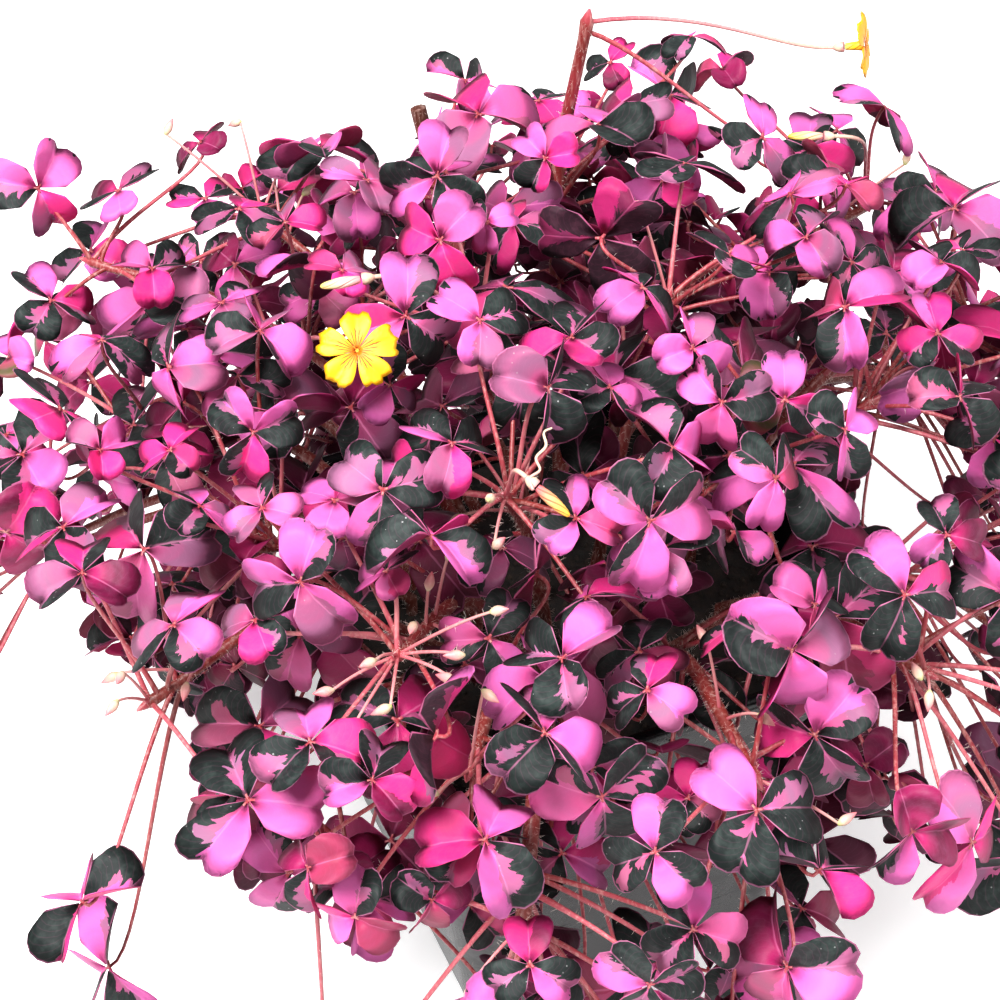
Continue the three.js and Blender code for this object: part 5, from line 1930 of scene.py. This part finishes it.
@dataclass(frozen=True)
class SoilBed:
    """The potting mix in the pot: a lumpy bed and the crumbs on it."""

    pot: Pot
    steps: int = 40
    corner_steps: int = 6
    lump: float = 1.1
    crumb: float = 1.1
    crumbs: float = 90000.0

    @property
    def count(self) -> int:
        """Points of each ring."""
        return 4 * (self.corner_steps + 1)

    def build(self) -> None:
        """Builds the bed and its crumbs, and dresses them."""
        obj = placed("potting_mix", self._bed())
        obj.data.materials.append(SoilFinish("damp_mix").build())
        obj.data.shade_smooth()
        add_piece(obj, "potting_soil", "soil")
        top = self._top_only()
        finish = SoilFinish("mix_crumbs", (24, 17, 13), (64, 50, 40)).build()
        values = {"Density": self.crumbs, "Size": self.crumb * MM, "Finish": finish}
        crumbs = dressed("mix_crumbs", top, CrumbTree("strew_crumbs").build(), values)
        add_piece(crumbs, "potting_soil", "soil")

    def _ring(self, half: float, height: float) -> list[Vector]:
        """One ring of the bed."""
        return self.pot.ring(half, height, self.corner_steps)

    def _inside(self, height: float) -> float:
        """Half width of the soil at a height."""
        return self.pot.wall_half(height) - self.pot.wall - self.pot.soil_gap

    def _height(self, x: float, y: float) -> float:
        """Height of the soil at a place."""
        wave = math.sin(x * 0.31 + 1.3) * math.cos(y * 0.27) + math.sin(x * 0.83 + y * 0.61)
        edge = max(abs(x), abs(y)) / self._inside(self.pot.soil_top)
        return self.pot.soil_top - 0.6 + self.lump * 0.4 * wave - 1.2 * edge**3

    def _top(self) -> tuple[list, list]:
        """Points and faces of the upper side, in rings from the middle to the edge."""
        points, faces = [(0, 0, self._height(0, 0))], []
        half, count = self._inside(self.pot.soil_top - 2), self.count
        for i in range(1, self.steps + 1):
            for p in self._ring(half * i / self.steps, 0):
                points.append((p.x, p.y, self._height(p.x, p.y)))
        faces += [(0, 1 + k, 1 + (k + 1) % count) for k in range(count)]
        for i in range(self.steps - 1):
            low, high = 1 + i * count, 1 + (i + 1) * count
            for k in range(count):
                n = (k + 1) % count
                faces.append((low + k, high + k, high + n, low + n))
        return points, faces

    def _bed(self) -> bpy.types.Mesh:
        """The closed body of soil."""
        points, faces = self._top()
        count, low = self.count, len(points)
        last = low - count
        floor = self.pot.floor + self.pot.soil_gap
        points += [tuple(p) for p in self._ring(self._inside(floor) - 0.9, floor)]
        for k in range(count):
            n = (k + 1) % count
            faces.append((last + k, low + k, low + n, last + n))
        faces.append(tuple(reversed(range(low, low + count))))
        return new_mesh("potting_mix", points, faces=faces)

    def _top_only(self) -> bpy.types.Mesh:
        """The upper side without its outer ring, on which crumbs may lie."""
        points, faces = self._top()
        return new_mesh("crumb_bed", points, faces=faces[: -self.count * 2])


def shoot_lines(name: str, strokes: list[Stroke]) -> bpy.types.Mesh:
    """A mesh with one line for each stroke and the attributes that the tube tree reads.

    Args:
        name: name of the mesh.
        strokes: the strokes.

    Returns:
        The mesh.
    """
    points, edges = [], []
    columns: dict[str, list[float]] = {"thick": [], "tone": [], "fuzz": []}
    for stroke in strokes:
        first = len(points)
        points += stroke.line
        edges += [(first + i, first + i + 1) for i in range(len(stroke.line) - 1)]
        columns["thick"] += [radius * MM for radius in stroke.radii]
        columns["tone"] += stroke.tones
        columns["fuzz"] += [stroke.fuzz] * len(stroke.line)
    mesh = new_mesh(name, points, edges)
    for title, values in columns.items():
        set_attribute(mesh, title, "FLOAT", values)
    return mesh


class Foliage:
    """Dresses the plant: for each stem its leaflets, and its shoots with stalks, hubs and buds."""

    SLOTS = ("foliage_plum", "foliage_charcoal", "foliage_mauve")
    THICKNESS = 0.3
    PAINTED_SHADE_DEPTH = 0.4
    BLADE = BladeTree("grow_leaflets", (
        (0.0, 0.86), (0.12, 0.915), (0.28, 0.985), (0.46, 1.01), (0.64, 0.99),
        (0.8, 0.925), (0.92, 0.83), (1.0, 0.7),
    ))

    def __init__(self, plant: Plant) -> None:
        """Prepares the trees and finishes that all stems share."""
        self.plant = plant
        self.blades = self.BLADE.build()
        self.tubes = TubeTree("grow_shoots").build()
        self.upper = LeafFinish("leaf_face", OUTER_SIDE, (244, 140, 190), (58, 70, 66)).build()
        self.under = LeafFinish(
            "leaf_back", UNDER_SIDE, margin=(226, 110, 160), mottle=(84, 44, 60), coral=(190, 60, 90),
            roughness=0.6,
        ).build()
        self.skin = ShootFinish().build()
        self.shoots: list[bpy.types.Object] = []

    def build(self) -> None:
        """Builds the pieces of every stem."""
        for number, stem in enumerate(self.plant.stems):
            node, slot = f"leafy_stem_{stem.name}", self.SLOTS[number % len(self.SLOTS)]
            leaves = self.plant.leaves[stem.name]
            name, strokes = f"shoots_{stem.name}", list(self.plant.strokes[stem.name])
            for leaf in leaves:
                strokes += self._stalk(leaf)
            shoots = dressed(name, shoot_lines(name, strokes), self.tubes, {"Finish": self.skin})
            add_piece(shoots, slot, node)
            self.shoots.append(shoots)
            if leaves:
                add_piece(self._leaflets(stem, leaves), slot, node)

    def _stalk(self, leaf: Leaf) -> list[Stroke]:
        """A leaf's stalk and its red hub with the short stalks of the leaflets."""
        draws = Draws(leaf.seed * 3 + 1)
        line = leaf.stalk(12)
        pale = draws.between(0.4, 0.72)
        stalk = tapered(line, (0.54, 0.43, 0.37, 0.35), (pale + 0.12, pale, pale, 0.6), 0.35)
        strokes = [stalk]
        for k in range(Leaf.LEAFLETS):
            end = leaf.point(k, leaf.length * 0.09, 0) - leaf.facing * 0.12
            arm = [leaf.hub - leaf.facing * 0.5, leaf.hub - leaf.facing * 0.18, end]
            strokes.append(Stroke(arm, [0.42, 0.46, 0.26], [0.62, 0.64, 0.56]))
        return strokes

    def _leaflets(self, stem: Stem, leaves: list[Leaf]) -> bpy.types.Object:
        """The leaflets of a stem's leaves."""
        rows = [row for leaf in leaves for row in self._describe(leaf)]
        values = {"Thickness": self.THICKNESS * MM, "Upper": self.upper, "Under": self.under}
        return bladed(f"leaflets_{stem.name}", rows, self.blades, values)

    def _describe(self, leaf: Leaf) -> list[dict[str, tuple]]:
        """The attributes of a leaf's three leaflets."""
        x, y, z = leaf.axes()
        draws = Draws(leaf.seed * 13 + 7)
        # Painted shade: how deep the leaf lies in the mound, stored as its shade attribute, darkens
        # its colour in the leaf material.
        depth = min(max((1.0 - MOUND.layer(leaf.hub)) / self.PAINTED_SHADE_DEPTH, 0), 1)
        rows = []
        for k in range(Leaf.LEAFLETS):
            turn = k * math.tau / Leaf.LEAFLETS + (draws.next() - 0.5) * 0.16
            way = x * math.cos(turn) + y * math.sin(turn)
            length = leaf.length * draws.between(0.95, 1.04) * MM
            fold = leaf.fold + draws.between(-0.12, 0.16)
            width = leaf.width * draws.between(0.98, 1.06)
            droop = leaf.droop + draws.between(-0.06, 0.12)
            bend = (droop, draws.between(-0.02, 0.07), draws.next())
            tints = (*(Tint(letter).number for letter in leaf.pairs[k]), draws.next())
            rows.append({
                "hub": leaf.hub * MM, "way": way, "side": z.cross(way), "facing": z,
                "blade": (length, width, fold), "bend": bend, "tints": tints, "shade": (depth, 0, 0),
            })
        return rows


class Hairs:
    """The fine pale hairs on stems, stalks and buds."""

    PARTS = 3
    DENSITY = 0.8e6
    LENGTH = 0.95
    RADIUS = 0.035

    def build(self, shoots: list[bpy.types.Object]) -> None:
        """Grows hairs on the skins of all shoots, in a few pieces.

        Args:
            shoots: the dressed shoots of all stems.
        """
        tree = HairTree("grow_hairs").build()
        finish = HairFinish().build()
        for part in range(self.PARTS):
            self._grow(f"pale_hairs_{part + 1}", shoots[part::self.PARTS], tree, finish)

    def _grow(self, name: str, shoots: list, tree: bpy.types.NodeTree, finish) -> None:
        """Grows the hairs of some shoots, as one piece."""
        points, faces, fuzz = [], [], []
        for obj in shoots:
            mesh = obj.data
            first = len(points)
            points += [tuple(vertex.co / MM) for vertex in mesh.vertices]
            faces += [[first + v for v in polygon.vertices] for polygon in mesh.polygons]
            values = np.zeros(len(mesh.vertices), np.float32)
            mesh.attributes["fuzz"].data.foreach_get("value", values)
            fuzz += list(values)
        skin = new_mesh(name, points, faces=faces)
        set_attribute(skin, "fuzz", "FLOAT", fuzz)
        values = {
            "Density": self.DENSITY,
            "Length": self.LENGTH * MM,
            "Radius": self.RADIUS * MM,
            "Finish": finish,
        }
        add_piece(dressed(name, skin, tree, values), "foliage_plum")


class Flowers:
    """The open, closed and faded blooms on their stalks."""

    PETALS = 5
    THICKNESS = 0.25
    SUNK = 0.9
    OVERLAP = 0.06
    FURLED = (
        (0, 0.62), (0.6, 0.76), (1.7, 0.92), (3.2, 1.02), (4.4, 0.94), (5.4, 0.78), (6.3, 0.6),
        (6.9, 0.38), (7.1, 0.12),
    )
    PETAL = BladeTree("grow_petals", (
        (0.0, 0.99), (0.15, 0.955), (0.3, 1.0), (0.45, 0.965), (0.6, 1.0), (0.75, 0.97),
        (0.88, 0.93), (1.0, 0.78),
    ), steps_along=9, steps_across=19, start=0.05, bulge=0.12, ragged=0.045)

    def __init__(self, plant: Plant) -> None:
        """Prepares the trees and finishes that the blooms share."""
        self.plant = plant
        self.petals = self.PETAL.build()
        self.tubes = TubeTree("furl_petals", 16).build()
        self.yellow = PetalFinish().build()
        self.closed = {
            "bloom_closed": FurledFinish("furled_yellow", (240, 150, 150), (248, 214, 150),
                                         (255, 216, 60), (214, 130, 90)),
            "bloom_faded": FurledFinish("faded_petals", (206, 92, 110), (236, 170, 110),
                                        (250, 206, 60), (168, 84, 60)),
            "bud_long": FurledFinish("long_bud", (222, 130, 138), (230, 190, 170),
                                     (226, 202, 96), (206, 132, 128)),
        }

    def build(self) -> None:
        """Builds every bloom."""
        for bloom in self.plant.blooms:
            if bloom.is_open:
                self._open(bloom)
            else:
                self._furled(bloom)

    def _tube(self, name: str, bloom: Bloom, rows: list, finish: bpy.types.Material):
        """A round body on a bloom's axis, from rows of height and radius."""
        line = [bloom.place(height) for height, _ in rows]
        tones = [(height - rows[0][0]) / (rows[-1][0] - rows[0][0]) for height, _ in rows]
        stroke = Stroke(line, [radius for _, radius in rows], tones)
        return dressed(name, shoot_lines(name, [stroke]), self.tubes, {"Finish": finish})

    def _furled(self, bloom: Bloom) -> None:
        """A bloom whose petals are wound into a spindle."""
        finish = self.closed[bloom.name].build()
        body = self._tube(f"{bloom.name}_petals", bloom, self.FURLED, finish)
        add_piece(body, "petal_pale", bloom.name)

    def _open(self, bloom: Bloom) -> None:
        """A bloom with five spread petals on a short throat."""
        z = bloom.facing
        x = (LOOK.up - z * LOOK.up.dot(z)).normalized()
        y = z.cross(x)
        draws = Draws(len(bloom.name) * 17)
        hub = bloom.place(bloom.TUBE - self.SUNK)
        rows = []
        for k in range(self.PETALS):
            turn = k * math.tau / self.PETALS + (draws.next() - 0.5) * 0.12
            way = x * math.cos(turn) + y * math.sin(turn)
            tilted = (way + z * draws.between(0.22, 0.34)).normalized()
            side = z.cross(way).normalized()
            blade = (draws.between(6.5, 6.9) * MM, draws.between(0.31, 0.36), 0.08)
            bend = (draws.between(0.25, 0.4), 0.05, draws.next())
            rows.append({
                "hub": (hub + z * (self.OVERLAP * k)) * MM, "way": tilted, "side": side,
                "facing": tilted.cross(side), "blade": blade, "bend": bend,
            })
        values = {"Thickness": self.THICKNESS * MM, "Upper": self.yellow, "Under": self.yellow}
        petals = bladed(f"{bloom.name}_petals", rows, self.petals, values)
        add_piece(petals, "petal_yellow", bloom.name)
        finish = FurledFinish(f"{bloom.name}_throat", (214, 200, 96), (246, 200, 40),
                              (240, 160, 20), (200, 120, 30)).build()
        top = bloom.TUBE
        throat = [(0, 0.75), (1.2, 0.82), (2.4, 0.92), (top - 1.2, 1.05), (top - 0.8, 1.0)]
        add_piece(self._tube(f"{bloom.name}_tube", bloom, throat, finish), "petal_yellow", bloom.name)


@dataclass(frozen=True)
class Studio:
    """The pale floor, the soft light and the camera."""

    floor_half: float = 4000
    floor_level: float = -0.2
    lens: float = 75.4
    world: float = 0.3
    sky_light: float = 24.6
    floor_glow: float = 0.4

    def build(self) -> None:
        """Sets the stage."""
        self._floor()
        self._light("key", (-420, -200, 950), 520, self.sky_light)
        self._light("fill", (700, -500, 600), 900, self.sky_light * 0.35)
        world = bpy.data.worlds.new("studio")
        world.use_nodes = True
        back = world.node_tree.nodes["Background"]
        back.inputs["Color"].default_value = (1, 1, 1, 1)
        back.inputs["Strength"].default_value = self.world
        bpy.context.scene.world = world
        bpy.context.scene.view_settings.view_transform = "Standard"
        self._camera()

    def _floor(self) -> None:
        """A plain pale floor under the pot."""
        half, level = self.floor_half, self.floor_level
        signs = ((-1, -1), (1, -1), (1, 1), (-1, 1))
        corners = [(x * half, y * half, level) for x, y in signs]
        floor = placed("floor", new_mesh("floor", corners, faces=[(0, 1, 2, 3)]))
        s = Shade("pale_floor")
        tone = s.mix(s.noise(s.place, 3.0), light(243, 243, 243), light(248, 248, 248))
        s.shader.inputs["Emission Color"].default_value = (1, 1, 1, 1)
        floor.data.materials.append(s.done(tone, 0.8, Emission_Strength=self.floor_glow))

    @staticmethod
    def _light(name: str, place: tuple, size: float, power: float) -> None:
        """A large soft lamp that faces the plant."""
        lamp = bpy.data.lights.new(name, "AREA")
        lamp.shape, lamp.size, lamp.energy = "DISK", size * MM, power
        obj = placed(name, lamp)
        obj.location = Vector(place) * MM
        obj.rotation_euler = (obj.location - Vector((0, 0, 0.1))).to_track_quat("Z", "Y").to_euler()

    def _camera(self) -> None:
        """The camera at the picture's angle."""
        camera = bpy.data.cameras.new("picture")
        camera.lens, camera.sensor_width, camera.clip_start = self.lens, 36, 0.01
        obj = placed("picture", camera)
        turn = Matrix((LOOK.right, LOOK.up, LOOK.back)).transposed()
        obj.matrix_world = Matrix.Translation(LOOK.eye * MM) @ turn.to_4x4()
        bpy.context.scene.camera = obj


def main() -> None:
    """Builds the potted plant and its studio."""
    logging.basicConfig(level=logging.INFO, format="%(message)s")
    Studio().build()
    PotBody(POT).build()
    SoilBed(POT).build()
    plant = Plant()
    plant.grow()
    foliage = Foliage(plant)
    foliage.build()
    Hairs().build(foliage.shoots)
    Flowers(plant).build()


if __name__ == "__main__":
    main()
